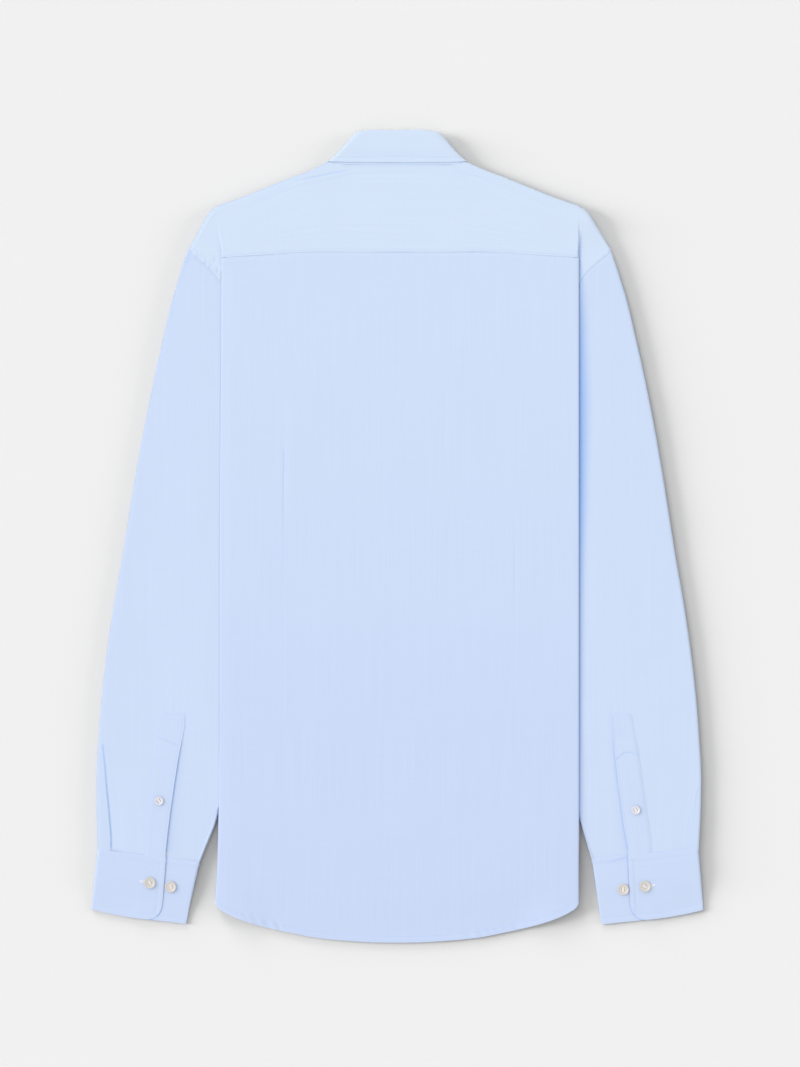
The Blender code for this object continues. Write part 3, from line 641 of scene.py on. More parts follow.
def yoke_relief(side, x, y):
    """Seams of the yoke and the slack round them."""
    signed = x * side
    seam = y - read(YOKE_SEAM, x)
    neck = read(NECK_SEAM, x) - y
    arm = y - read(ARMHOLE, x)
    slack = 0.20 * ripple(signed, y, 21, 80)
    stitched = 0.05 * fall(seam, 1.2, 7.2) - 0.14 * bump(seam - YOKE_STITCH, 0.7)
    pucker = 0.08 * row_ripple(signed, 5, 13) * bump(seam - 2, 3.5)
    at_neck = 0.07 * row_ripple(signed, 4, 11) * bump(neck - 3, 3) - 0.35 * fall(neck, 0.2, 1.8)
    tip = (0.5 if side == LEFT else 0.2) * row_ripple(x * 1.3, 2 + side, 6.5) * bump(arm - 4, 5)
    tip = (tip + 0.12 * bump(arm - 4.2, 1.6) - 0.16 * bump(arm - 6.4, 0.9)) * rise(x, 184, 190)
    lift = slack + stitched + pucker + np.where(x < NECK_HALF, at_neck, 0.0) + tip
    return lift + shoulder_crease(side, x, y) - 0.45 * dimples(side, x, y)


def shoulder_crease(side, x, y):
    """The soft crease that runs from the neck along each shoulder, over the seam below."""
    depth = (0.55 if side == LEFT else 0.2) * rise(x, 42, 56) * fall(x, 98, 114)
    away = y - mix(366.6, 353.4, (x - 46) / 62)
    return depth * (bump(away + 2.6, 2.6) - 0.9 * bump(away, 1.2))


def dimples(side, x, y):
    """How deep the cloth is pulled in by the seam of the left sleeve."""
    if side == RIGHT:
        return 0.0
    return sum(bump(np.hypot((x - at) / 1.5, (y - up) / 2.0), 1.0) for at, up in DIMPLES)


def sleeve_relief(side, x, y):
    """Pleat, slit, gathers and slack of a sleeve's upper side."""
    signed = x * side
    slack = 0.32 * ripple(signed, y, 31 + side, 75) + 0.09 * ripple(signed, y, 33, 26)
    inside_slit = fall(x - read(PLACKET_LAP[side], y), 0.2, 1.8)
    slit = -(0.55 * fall(y, -236, -186) + 0.6 * fall(y, -312, -262)) * inside_slit
    past_fold = x - read(PLEAT[side], y)
    pleat_top = PLEAT[side][-1][0] + 4
    pleat = (0.85 if side == LEFT else 0.6) * fall(y, pleat_top - 70, pleat_top)
    pleat = -pleat * rise(past_fold, -22, 0) * fall(past_fold, -0.5, 0.5)
    gather = 0.22 * bump(y + 312, 24) * row_ripple(x, 6 + side, 15) * rise(x, 200, 212)
    arm = read(ARMHOLE, x) - y
    at_seam = (0.5 if side == LEFT else 0.2) * bump(arm - 4, 7) * row_ripple(x * 1.25, 7 + side, 7.5)
    under_tip = -0.7 * fall(arm, -0.2, 1.4) - 0.45 * dimples(side, x, y) * rise(arm, 0, 2)
    shown = rise(x, 180, 190)
    return (slack * shown + slit + pleat + gather + at_seam) * shown + under_tip


# Making and dressing pieces


def mesh_piece(name, points, faces):
    """A new object in the scene, from points in millimetres and faces between them."""
    data = bpy.data.meshes.new(name)
    data.from_pydata([tuple(point) for point in np.asarray(points) * MM], [], faces)
    piece = bpy.data.objects.new(name, data)
    bpy.context.scene.collection.objects.link(piece)
    return piece


def face_outward(data, join=False):
    """Turn the faces of a mesh the same way, once points that lie together are joined."""
    shape = bmesh.new()
    shape.from_mesh(data)
    if join:
        bmesh.ops.remove_doubles(shape, verts=shape.verts, dist=0.02 * MM)
        bmesh.ops.dissolve_degenerate(shape, edges=shape.edges, dist=0.01 * MM)
    bmesh.ops.recalc_face_normals(shape, faces=shape.faces)
    shape.to_mesh(data)
    shape.free()


def deselect():
    """Leave nothing selected, because an operator acts on all that is."""
    for item in bpy.context.view_layer.objects:
        item.select_set(False)


def pick(piece):
    """Make one object the only selected and active one."""
    deselect()
    piece.select_set(True)
    bpy.context.view_layer.objects.active = piece


def apply_all(piece):
    """Apply a piece's modifiers in order."""
    pick(piece)
    for modifier in list(piece.modifiers):
        bpy.ops.object.modifier_apply(modifier=modifier.name)


def smooth(piece, angle):
    """Shade a piece smooth, except across edges sharper than an angle in degrees."""
    pick(piece)
    bpy.ops.object.shade_smooth_by_angle(angle=math.radians(angle))


def keep(piece, name, values):
    """Keep a number at each point of a piece, which its material reads by name."""
    layer = piece.data.attributes.new(name, "FLOAT", "POINT")
    layer.data.foreach_set("value", np.array(values, dtype=np.float32))


def dress(piece, finish, node=None):
    """Give a piece its material and its body, and hide the CAD node that it stands for."""
    piece.data.materials.clear()
    piece.data.materials.append(material(finish))
    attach(piece, "root")
    if node:
        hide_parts(node)
    return piece


def cut_map(points, crosswise):
    """Where each point lies on the cut cloth, in metres, from the lengths of its grid."""
    across = np.linalg.norm(np.diff(points, axis=0), axis=2).max(axis=1)
    along = np.linalg.norm(np.diff(points, axis=1), axis=2).max(axis=0)
    u, v = [np.concatenate([[0.0], np.cumsum(gaps)]) * MM for gaps in (across, along)]
    u, v = np.meshgrid(u, v, indexing="ij")
    return np.stack([v, u] if crosswise else [u, v], axis=-1)


def sheet(name, grids, crosswise):
    """A cloth piece: one surface over grids of points, given an even wall."""
    faces, start = [], 0
    for points in grids:
        columns, rows = points.shape[:2]
        for column in range(columns - 1):
            for corner in range(start + column * rows, start + (column + 1) * rows - 1):
                faces.append((corner, corner + rows, corner + rows + 1, corner + 1))
        start += columns * rows
    piece = mesh_piece(name, np.concatenate([points.reshape(-1, 3) for points in grids]), faces)
    cut = np.concatenate([cut_map(points, crosswise).reshape(-1, 2) for points in grids])
    corners = np.zeros(len(piece.data.loops), dtype=np.int32)
    piece.data.loops.foreach_get("vertex_index", corners)
    piece.data.uv_layers.new(name="cut").data.foreach_set("uv", cut.astype(np.float32)[corners].ravel())
    face_outward(piece.data, join=True)
    solid = piece.modifiers.new("wall", "SOLIDIFY")
    solid.thickness = cloth_wall() * MM
    solid.offset = 0.0
    apply_all(piece)
    smooth(piece, 40)
    return piece


def on_upper(x, y, z):
    """Whether a point lies above the layers next to the ground."""
    return z > SHADE_OVER


def painted_shade_depths(piece, shade_lines, lies):
    """How much shade is painted on each point of a piece, from 0 to 1, where lies(x, y, z)."""
    depths = np.zeros(len(piece.data.vertices))
    for side, rows in shade_lines:
        rows = np.array(rows, dtype=float)
        run = run_of(rows[:, :2])
        at = np.linspace(0, run[-1], int(run[-1]) + 2)
        x, y, reach, depth = [np.interp(at, run, column) for column in rows.T]
        tree = KDTree(len(at))
        for index, spot in enumerate(place(side, x, y, 0.0)):
            tree.insert(spot, index)
        tree.balance()
        for vert in piece.data.vertices:
            spot = vert.co / MM
            if lies(*spot):
                _, index, away = tree.find((spot.x, spot.y, 0.0))
                share = max(1 - away / reach[index], 0.0) ** 1.4 * depth[index]
                depths[vert.index] = max(depths[vert.index], share)
    return depths


def lay(node, grids, stitches=(), shade_lines=None, lies=on_upper):
    """Make a panel and its stitching, with its cut map, its tone, and the shade painted along its creases
    where lies(x, y, z).
    """
    cut = CUTS[node]
    piece = sheet(f"{node}_cloth", grids, cut.crosswise)
    heights = [vert.co.y / MM for vert in piece.data.vertices]
    keep(piece, "tone", read(cut.tone if isinstance(cut.tone, list) else [(0, cut.tone)], heights))
    # The crease attribute is painted shade, which the cloth's material mixes towards a deep blue
    keep(piece, "crease", painted_shade_depths(piece, PAINTED_SHADES.get(node, []) if shade_lines is None else shade_lines, lies))
    if cut.banded:
        dress(piece, "interlined poplin", node)
    else:
        dress(piece, "cotton poplin", node)
    sewn = [sew(f"{node}_stitching", stitches)] if len(stitches) else []


# Thread


def circle(sides):
    """Angles of the points round a thread."""
    return [2 * math.pi * step / sides for step in range(sides)]


def ring_faces(start, rings, sides):
    """Faces between rings of points that follow one another, from the point at start."""
    return [
        (low + step, low + (step + 1) % sides, low + sides + (step + 1) % sides, low + sides + step)
        for low in range(start, start + (rings - 1) * sides, sides)
        for step in range(sides)
    ]


def along_path(path, pitch):
    """Points every pitch along a path, with the direction at each."""
    path = np.asarray(path, dtype=float)
    run = run_of(path)

    def spots(at):
        return np.stack([np.interp(at, run, column) for column in path.T], axis=1)

    count = max(int(run[-1] / pitch), 1)
    at = (np.arange(count) + 0.5) * run[-1] / count
    heading = spots(at + 0.3) - spots(at - 0.3)
    return spots(at), heading / np.maximum(np.linalg.norm(heading, axis=1, keepdims=True), 1e-9)


def stitch_form(length, radius, sides=5):
    """Points and faces of one stitch: a short thread that dips in at both ends."""
    rings = [(-0.42, 0.7, -0.5), (-0.2, 1.0, 0.1), (0.2, 1.0, 0.1), (0.42, 0.7, -0.5)]
    points = [(-0.5 * length, 0.0, -1.4 * radius)]
    for share, size, lift in rings:
        for angle in circle(sides):
            across, up = radius * size * math.cos(angle), radius * (size * math.sin(angle) + lift)
            points.append((share * length, across, up))
    points.append((0.5 * length, 0.0, -1.4 * radius))
    faces = ring_faces(1, len(rings), sides)
    last, end = 1 + (len(rings) - 1) * sides, len(points) - 1
    for step in range(sides):
        after = (step + 1) % sides
        faces += [(0, 1 + after, 1 + step), (last + step, last + after, end)]
    return np.array(points), faces


def sew(name, paths, pitch=None, length=1.9, radius=None, crosswise=False, finish="polyester sewing thread"):
    """Rows of stitches along paths on a panel, as one piece."""
    sewing = bpy.context.scene.shirt_sewing
    form, form_faces = stitch_form(length, radius or sewing.radius / MM)
    points, faces = [], []
    for path in paths:
        for spot, heading in zip(*along_path(path, pitch or sewing.pitch / MM)):
            up = np.array([0.0, 0.0, 1.0]) - heading * heading[2]
            up /= np.linalg.norm(up)
            side = np.cross(up, heading)
            if crosswise:
                heading, side = side, -heading
            start = len(points) * len(form)
            points.append(spot + form[:, :1] * heading + form[:, 1:2] * side + form[:, 2:] * up)
            faces += [tuple(start + corner for corner in face) for face in form_faces]
    piece = mesh_piece(name, np.concatenate(points), faces)
    smooth(piece, 60)
    return dress(piece, finish)


# Body


def body_rows():
    """Shares of a body column from its hem to its yoke seam, closer near both ends."""
    far = BACK_LONG + YOKE_LAP
    near_hem = [0, 0.7, 1.6, 2.8, 4.0, 4.8, 5.4, 6.0, 6.6, 7.4, 9.0, 11.5, 15.0, 20.0]
    near_seam = [far - gap for gap in (19, 15, 12, 10, 9, 8, 7.2, 6.6, 6.0, 5.4, 4.6, 3.6, 2.0, 0)]
    return np.array([*near_hem, *np.linspace(26, far - 24, 118), *near_seam]) / far


def body_across():
    """x of the columns of one half of the back, closer along its dart."""
    line = DARTS[RIGHT].line
    even = [x for x in np.linspace(0, BODY_FOLD, 67) if abs(x - line) > 3.2]
    dart = [line + gap for gap in (-2.6, -1.6, -0.9, -0.3, 0.3, 0.9, 1.6, 2.6)]
    return sorted(even + dart)


def yoke_lap(x):
    """How far the back runs up under the yoke."""
    return YOKE_LAP * fall(x, 162, 176) - 0.3


def fold_top(turn, layer):
    """The top end of a side fold. The back's reaches its yoke seam at the crease."""
    armhole = read(ARMHOLE, BODY_FOLD)
    if layer == FRONT:
        return armhole
    seam = read(YOKE_SEAM, BODY_FOLD) + yoke_lap(BODY_FOLD)
    return mix(armhole, seam, rise(math.degrees(turn), -5, 15))


def side_columns(side, layer, shares):
    """The fold at one side and the part turned under it, for the back or the front."""
    hem = FRONT_RISE if layer == FRONT else 0.0
    columns = []
    for turn in HALF_TURN:
        reach, swing = max(math.cos(turn), 0.0) ** PRESSED, math.sin(turn)
        y = mix(hem_line(BODY_FOLD + 3.0 * reach) + hem, fold_top(turn, layer), shares)
        upper = front_height(side, BODY_FOLD, y) if layer == FRONT else back_height(y)
        lower = margin_height(BODY_FOLD, y, layer)
        radius = (upper - lower) / 2
        z = (upper + lower) / 2 + radius * swing
        if layer == BACK:
            z = z + back_relief(side, BODY_FOLD, y) * max(swing, 0.0)
        columns.append(place(side, BODY_FOLD + radius * reach, y, z))
    for station in MARGIN_COLUMNS:
        inner = max(station, MARGIN_EDGE)
        low = hem_line(HEM_RISE[-1][0]) + MARGIN_HEM_SLOPE * (BODY_FOLD - inner) + hem
        y = mix(low, read(ARMHOLE, inner), shares)
        x = np.maximum(station, read(SIDE_SEAM, np.minimum(y, UNDERARM[1])))
        y = np.minimum(y, read(ARMHOLE, x))
        columns.append(place(side, x, y, margin_height(x, y, layer)))
    return np.array(columns)


def back_point(side, x, y, above=0.0):
    """A point on the back's upper face, above its middle by above."""
    return place(side, x, y, back_height(y) + back_relief(side, x, y) + above)


def back_grid():
    """The back from side to side, with both of its sides turned under."""
    shares = body_rows()

    def half(side):
        tops = [(x, read(YOKE_SEAM, x) + yoke_lap(x)) for x in body_across()]
        main = [back_point(side, x, mix(hem_line(x), top, shares)) for x, top in tops]
        return np.concatenate([main, side_columns(side, BACK, shares)[1:]])

    return both(half)


def front_grids(side):
    """The front's main part, its turned-under side, and the end of its shoulder."""
    shares = np.array([0, 0.004, 0.008, 0.014, *np.linspace(0.03, 0.985, 62), 0.992, 1.0])
    main, tip = [], []
    for x in steps((-FRONT_LAP, 6), (-4, 10), (48, 6), (80, 8), (145, 6), (BODY_FOLD, 0)):
        low = hem_line(x) + FRONT_RISE
        y = mix(low, front_top(abs(x)), shares)
        slack = 0.25 * ripple(x, y, 41 + side, 70) * rise(y - low, 0, 40)
        lift = np.maximum(0.12 * fall(y - low, 5.6, 7.0) + slack, 0.0)
        main.append(place(side, x, y, front_height(side, x, y) + lift))
    for x in steps((BODY_FOLD, 4), (195, 4), (206, 0)):
        at_fold = x == BODY_FOLD
        low = read(ARMHOLE, x) + (2 if at_fold else 3)
        y = mix(low, max(front_top(x), low + 2), np.linspace(0, 1, 9))
        tip.append(place(side, x, y, front_height(side, x, y) if at_fold else floor_cloth()))
    return [np.array(main), side_columns(side, FRONT, shares), np.array(tip)]


def front_top(x):
    """y of a front's top edge: the neckline, then the forward shoulder seam."""
    if x < NECK_HALF:
        return read(NECKLINE, x)
    seam = [forward_seam(at) for at in np.linspace(NECK_HALF, 210, 60)]
    return read(seam, x) - 0.4


# Yoke


def shoulder_outline(x):
    """The shoulder's edge above the yoke's low edge at x, and its outward direction."""
    edge_x = x + 3.0 * rise(x, 183, 210)
    before, after = edge_x - 0.6, edge_x + 0.6
    climb = float(curve(SHOULDER, after) - curve(SHOULDER, before))
    ahead = min(after, SHOULDER[-1][0]) - before
    length = math.hypot(ahead, climb)
    return Place(edge_x, curve(SHOULDER, edge_x)), Place(-climb / length, ahead / length)


def yoke_top_height(side, x, y):
    """Height of the yoke's upper side, which steps down over the body's fold to its tip."""
    if x <= BODY_FOLD:
        return back_height(y)
    crease = 181.9 + 1.6 * rise(y, 276, 306)
    sleeve = np.maximum(sleeve_height(side, np.maximum(x, 186.0), y), 0.0)
    tip = mix(sleeve, back_height(y), rise(y, 288, 318))
    height = mix(back_height(y), tip, rise(x, crease - 2, crease))
    if side == RIGHT:
        height = height - 0.55 * bump(x - crease - 0.4, 1.3) * fall(y, 296, 308)
    return height


def yoke_low(x):
    """The yoke's low edge: its seam with the back, then the armhole at its tip."""
    return read(YOKE_SEAM if x <= YOKE_CORNER else ARMHOLE, x)


def shoulder_parts(side, x):
    """The fold over the shoulder's edge: where it starts, its radius and its directions."""
    edge, normal = shoulder_outline(x)
    lower = floor_cloth() + LAYER * near_collar(x, edge.y)
    radius = (yoke_top_height(side, x, edge.y - 4) - lower) / 2
    reach = radius + cloth_wall() / 2
    return Place(edge.x - normal.x * reach, edge.y - normal.y * reach), normal, radius, lower


def forward_seam(x):
    """Where the yoke ends below the shoulder's fold, on the front."""
    core = shoulder_parts(RIGHT, x)[0]
    low = Place(x, yoke_low(x))
    share = min(1.0, FORWARD_SEAM / max(math.dist(core, low), 1e-6))
    return Place(mix(core.x, low.x, share), mix(core.y, low.y, share))


def yoke_shares(length):
    """Shares up a yoke column, closer to its low edge."""
    near = [gap for gap in (0, 0.5, 1.0, 1.4, 1.8, 2.3, 3.2, 4.6, 6.5, 9.0) if gap < length * 0.4]
    fine = min(YOKE_TOP_ROWS, length * 0.3)
    rest = np.linspace(near[-1], length - fine, YOKE_ROWS - len(near) - YOKE_TOP_ROWS + 1)[1:]
    close = np.linspace(length - fine, length, YOKE_TOP_ROWS + 1)[1:]
    return np.array([*near, *rest, *close]) / max(length, 1e-6)


def neck_column(side, x):
    """Up the yoke from its seam with the back to its neck."""
    low, top = yoke_low(x), read(NECK_SEAM, x)
    y = mix(low, top, yoke_shares(top - low))
    return place(side, x, y, back_height(y) + yoke_relief(side, x, y))


def shoulder_column(side, x):
    """Up the yoke, over the shoulder's edge and down to the forward seam."""
    core, normal, radius, lower = shoulder_parts(side, x)
    low, end = Place(x, yoke_low(x)), forward_seam(x)
    length = math.dist(core, low)
    share = yoke_shares(length)
    at_x, at_y = mix(low.x, core.x, share), mix(low.y, core.y, share)
    to_edge = length * (1 - share)
    z = yoke_top_height(side, x, at_y)
    settle = fall(to_edge, 0, 12) * (lower + 2 * radius - float(z[-1]))
    relief = yoke_relief(side, x, at_y) * rise(to_edge, 0, 8)
    turns = HALF_TURN[1:]
    out, over = radius * np.cos(turns), lower + radius * (1 + np.sin(turns))
    under = np.array([0.5, 1.0])
    return np.concatenate([
        place(side, at_x, at_y, z + settle + relief),
        place(side, core.x + normal.x * out, core.y + normal.y * out, over),
        place(side, mix(core.x, end.x, under), mix(core.y, end.y, under), lower),
    ])


def yoke_grids():
    """The yoke's middle below the neck, and its two shoulders."""

    def neck(side):
        columns = [neck_column(side, x) for x in steps((0, 24), (NECK_HALF, 0))[:-1]]
        return np.array([*columns, shoulder_column(side, NECK_HALF)[:YOKE_ROWS]])

    across = steps((NECK_HALF, 38), (176, 5), (180.6, 14), (186, 22), (209, 3), (210.6, 0))
    shoulders = [np.array([shoulder_column(side, x) for x in across]) for side in (LEFT, RIGHT)]
    return [both(neck), *shoulders]


# Sleeves


def sleeve_row(side, level):
    """One turn of the sleeve at a level: underarm fold, upper side, outer fold, underside."""
    closed = level <= UNDERARM[1]
    inner = read(SLEEVE_INNER[side], level) if closed else armhole_x(level - 3.0)
    floor = floor_cloth()
    core = curve(SLEEVE_OUTER, level) - PUFF / 2 - floor
    tight = (sleeve_height(side, inner, level) - floor) / 2 if closed else 0.0
    start = min(inner + tight, core)

    def turned(x, radius, turn, relief):
        return x + radius * math.cos(turn), floor + abs(radius) * (1 + math.sin(turn)), relief

    if closed:
        points = [turned(start, -tight, turn, 0.0) for turn in UNDERARM_TURN]
    else:
        points = [(start, sleeve_height(side, start, level), 1.0)] * 3
    lap, fold = read(PLACKET_LAP[side], level), read(PLEAT[side], level)
    knots = [
        (start, 10), (178, 4), (181, 8), (184, 8), (203, 3), (lap - 2, 4), (lap + 2, 20),
        (fold - 16, 6), (fold - 2, 5), (fold + 1.2, 3), (core, 0),
    ]
    for x in np.minimum(steps(*[(max(start, knot), count) for knot, count in knots]), core):
        points.append((x, sleeve_height(side, x, level), 1.0))
    half = (sleeve_height(side, core, level) - floor) / 2
    points += [turned(core, half, turn, max(math.sin(turn), 0.0)) for turn in HALF_TURN[1:]]
    upper_points = len(points) - np.count_nonzero(HALF_TURN < 0)
    low_start = min(start, 184.4) if level > 250 else start
    points += [(mix(core, low_start, share), floor, 0.0) for share in UNDER_SHARES]
    points += [turned(low_start, -tight, turn, 0.0) for turn in -UNDERARM_TURN[::-1]]
    x, z, relief = np.array(points).T
    y = np.maximum(level, cuff_seam_y(side, x) - 5.0)
    y = y + 3.0 * rise(level, 246, 281) * np.clip((x - start) / max(core - start, 1.0), 0, 1)
    z = z + (sleeve_relief(side, x, y) + under_cuff(side, x, y)) * relief
    under_top = UNDER_TOP + UNDER_STEP * rise(x, *UNDER_OUTER)
    y[upper_points:] = np.minimum(y, under_top)[upper_points:]
    return place(side, x, y, np.maximum(z, floor))


def armhole_x(y):
    """x of the armhole at a height."""
    return read([(up, x) for x, up in ARMHOLE], y)


def cuff_seam_y(side, x):
    """y of the seam between sleeve and cuff."""
    inner, outer = CUFF_CORNERS[side][:2]
    return mix(inner.y, outer.y, (x - inner.x) / (outer.x - inner.x))


def sleeve_grid(side):
    """A sleeve from its cuff seam up to its armhole."""
    low = steps((-331, 12), (-306, 44), (-160, 34), (60, 6), (76, 0))
    high = steps((76, 8), (110, 26), (240, 18), (280, 8), (285.6, 0))
    return np.array([sleeve_row(side, level) for level in (*low, *high[1:])]).swapaxes(0, 1)


def under_cuff(side, x, y):
    """How far the sleeve and its placket dip to pass under the cuff."""
    return -0.32 * fall(y - cuff_seam_y(side, x), -0.4, 5.6)


def box_line(side, share):
    """The row of stitches that closes a sleeve placket, arched or aslant."""
    if side == LEFT:
        return PLACKET_BOX + 6.0 + 10.0 * share
    return PLACKET_BOX + 0.5 - 28.0 * (share - 0.58) ** 2


def placket_point(side, share, y, above=0.0):
    """A point of the band over the sleeve's slit: the sleeve's own surface, moved out."""
    lap = read(PLACKET_LAP[side], y)
    x = mix(lap, read(PLACKET_SEAM[side], y), share)
    base = sleeve_height(side, x, y) + sleeve_relief(side, np.maximum(x, lap + 2.4), y)
    across = share * PLACKET_WIDE
    edge = np.minimum(across, PLACKET_WIDE - across)
    to_box = y - box_line(side, share)
    seam = -0.14 * bump(edge - BAND_STITCH, 0.7) - 0.26 * bump(to_box, 0.9) + 0.16 * bump(to_box - 2.4, 1.5)
    low = 0.45 * rise(across, 20.5, 23) + 0.35 * rise(y, PLACKET_TOP - 3, PLACKET_TOP)
    low = low + 0.28 * rise(y, PLACKET_BOX + 4, PLACKET_BOX + 16)
    waver = 0.12 * row_ripple(y, 9 + side, 21) * bump(across - 11.5, 10)
    return place(side, x, y, base + 0.78 + seam - low + under_cuff(side, x, y) + waver + above)


def placket_grid(side):
    """A sleeve placket, from under the cuff up to its end."""
    columns = []
    for share in steps((0, 2), (0.05, 3), (0.16, 9), (0.84, 3), (0.95, 2), (1, 0)):
        low, top = cuff_seam_y(side, mix(230.0, 253.0, share)) - 4.0, PLACKET_TOP
        y = steps((low, 4), (low + 5, 24), (-227, 30), (-199, 8), (top - 4, 5), (top, 0))
        columns.append(placket_point(side, share, y))
    return np.array(columns)


# Cuffs


def cuff_place(side, share, down):
    """A point of the flat cuff: share runs from its inner to its outer edge."""
    inner, outer, low_inner, low_outer = CUFF_CORNERS[side]
    bow = 2.2 * np.sin(math.pi * np.clip(share, 0, 1) ** 1.5)
    x = mix(mix(inner.x, outer.x, share), mix(low_inner.x, low_outer.x, share), down)
    return x, mix(mix(inner.y, outer.y, share), mix(low_inner.y, low_outer.y, share) - bow, down)


def corner_depth(distance):
    """How much of the cuff's height its rounded corner takes at a distance from its end."""
    inside = np.clip(CUFF_ROUND - distance, 0.0, CUFF_ROUND)
    return (CUFF_ROUND - np.sqrt(CUFF_ROUND**2 - inside**2)) / CUFF_TALL


def cuff_heights():
    """Heights of a cuff's underside, underlap and overlap, and its outer fold's radius."""
    floor = floor_cloth() + 0.1
    return floor, floor + 4.0, floor + 5.2, (tube_top() + 0.2 - floor) / 2


def cuff_width(side):
    """How wide a cuff lies, along its seam with the sleeve."""
    return CUFF_CORNERS[side][1].x - CUFF_CORNERS[side][0].x


def overlap_share(side, beyond, down):
    """Share of a cuff's width at a distance beyond its overlap's end."""
    return mix(*OVERLAP[side], down) + beyond / cuff_width(side)


def cuff_press(down):
    """How full a cuff is, which is pressed flatter towards its lower edge."""
    return 1 - 0.76 * rise(down, 0.3, 1)


def over_pressed(share, down):
    """Height of a cuff's upper side once pressed, always clear of the underlap below it."""
    floor, under, over, reach = cuff_heights()
    press = cuff_press(down)
    full = mix(over, floor + 2 * reach, rise(share, 0.6, 0.9))
    return mix(floor, under, press) + np.maximum((full - under) * press, 0.8 * fall(share, 0.5, 0.64))


def cuff_relief(side, x, y, down, ended=99.0):
    """Rolled edges, rows of stitches and slack. ended is how far in from the overlap's end."""
    to_low, to_top = (1 - down) * CUFF_TALL, down * CUFF_TALL
    rolled = 0.22 * bump(to_low - 2.5, 2.2) - 0.22 * bump(to_low - CUFF_STITCH, 0.8)
    banded = 0.2 * bump(to_top - 3.0, 2.5) + 0.1 * bump(to_top - 10.8, 1.6)
    banded = banded - 0.16 * bump(to_top - BAND_SEAM, 0.8) - 0.3 * bump(to_top, 1.2)
    slack = 0.22 * ripple(x * side, y, 51 + side, 45) + 0.06 * row_ripple(x, 5, 12) * bump(to_top - 6, 7)
    return rolled + banded + slack + 0.18 * bump(ended - 2.6, 2.2) - 0.22 * bump(ended - CUFF_STITCH, 0.8)


def over_point(side, beyond, down, above=0.0):
    """A point on a cuff's upper side, beyond its overlap's end, down as a share."""
    share = overlap_share(side, beyond, down)
    x, y = cuff_place(side, share, down)
    return place(side, x, y, over_pressed(share, down) + cuff_relief(side, x, y, down, beyond) + above)


def flat_point(side, share, down, height, upper, above=0.0):
    """A point of a cuff at a share of its width, from its inner to its outer edge."""
    x, y = cuff_place(side, share, down)
    relief = cuff_relief(side, x, y, down) if upper else 0.0
    return place(side, x, y, mix(cuff_heights()[0], height, cuff_press(down)) + relief + above)


def overlap_edge_shade(side):
    """Shade painted along where the overlap ends on a cuff, down to its rounded corner, as rows of x, y,
    reach and depth.
    """
    rows = [(0.0, down) for down in np.linspace(0, 1 - CUFF_ROUND / CUFF_TALL, 12)]
    rows += [(beyond, 1 - corner_depth(beyond)) for beyond in np.linspace(0, CUFF_ROUND, 14)[1:]]
    straight, rounded = (0.45, 0.7) if side == LEFT else (0.4, 0.55)
    spots = [(beyond, *cuff_place(side, overlap_share(side, beyond, down), down)) for beyond, down in rows]
    return [(x, y, 2.0, rounded if beyond > 3 else straight) for beyond, x, y in spots]


def mirrored_x(x, y):
    """How far out a finished point lies, as worked out for the wearer's right."""
    return x if x > 0 else read(LEFT_INSET, y) - x


def cuff_down(side, x, y):
    """How far down a cuff a place lies, from 0 at its seam to 1."""
    return (cuff_seam_y(side, x) - y) / CUFF_TALL


def on_underlap(side):
    """A test of whether a point lies on a cuff's underlap."""
    floor, under = cuff_heights()[:2]

    def lies(x, y, z):
        press = cuff_press(cuff_down(side, mirrored_x(x, y), y))
        return abs(z - mix(floor, under, press)) < 0.6

    return lies


def cuff_grid(side):
    """Round the cuff, from the end of the overlap to the end of the underlap."""
    floor, under, _, reach = cuff_heights()
    low_reach = (under - floor) / 2
    width = cuff_width(side)
    outer, inner = 1 - (reach + 0.5) / width, (low_reach + 0.3) / width
    shares = steps((0, 3), (0.02, 4), (0.09, 6), (0.2, 14), (0.7, 10), (0.88, 7), (1, 0))
    columns = []
    for beyond in steps((0, 8), (6, 6), (17, 4), (28, 0)):
        columns.append(over_point(side, beyond, shares * (1 - corner_depth(beyond))))
    for share in np.linspace(0.62, outer, 13)[:-1]:
        lean = (mix(*OVERLAP[side], shares) - OVERLAP[side][0]) * fall(share, 0.6, 0.72)
        x, y = cuff_place(side, share + lean, shares)
        height = over_pressed(share + lean, shares) + cuff_relief(side, x, y, shares)
        columns.append(place(side, x, y, height))

    def folded(fold, radius, turn):
        height = floor + abs(radius) * (1 + math.sin(turn))
        return flat_point(side, fold + radius * math.cos(turn) / width, shares, height, turn > 0.9)

    columns += [folded(outer, reach, turn) for turn in HALF_TURN]
    for share in np.linspace(outer, inner, 16)[1:-1]:
        columns.append(flat_point(side, share, shares, floor, False))
    columns += [folded(inner, -low_reach, turn) for turn in HALF_TURN[::-1]]
    for share in steps((inner, 8), (0.24, 16), (0.36, 0))[1:]:
        columns.append(flat_point(side, share, shares, under, True))
    for before in steps((18, 9), (6, 6), (0, 0))[1:]:
        down = shares * (1 - corner_depth(before))
        columns.append(flat_point(side, UNDER_END - before / width, down, under, True))
    return np.array(columns)


# Collar


def collar_rows(count):
    """The collar's table read on a smooth curve at count even places along it."""
    turn, neck, roll, edge = [np.array(column, dtype=float) for column in zip(*COLLAR)]
    roll = roll + [0, ROLL_TOP]
    run = run_of((neck + roll) / 2) + np.arange(len(turn)) * 3.0
    rows = []
    for at in np.linspace(0, run[-1], count):
        spot = [curve(np.stack([run, values], axis=1), at) for values in (*neck.T, *roll.T, *edge.T)]
        angle = math.radians(np.interp(at, run, turn))
        rows.append(CollarRow(angle, Place(*spot[:2]), Place(*spot[2:4]), Place(*spot[4:])))
    return rows


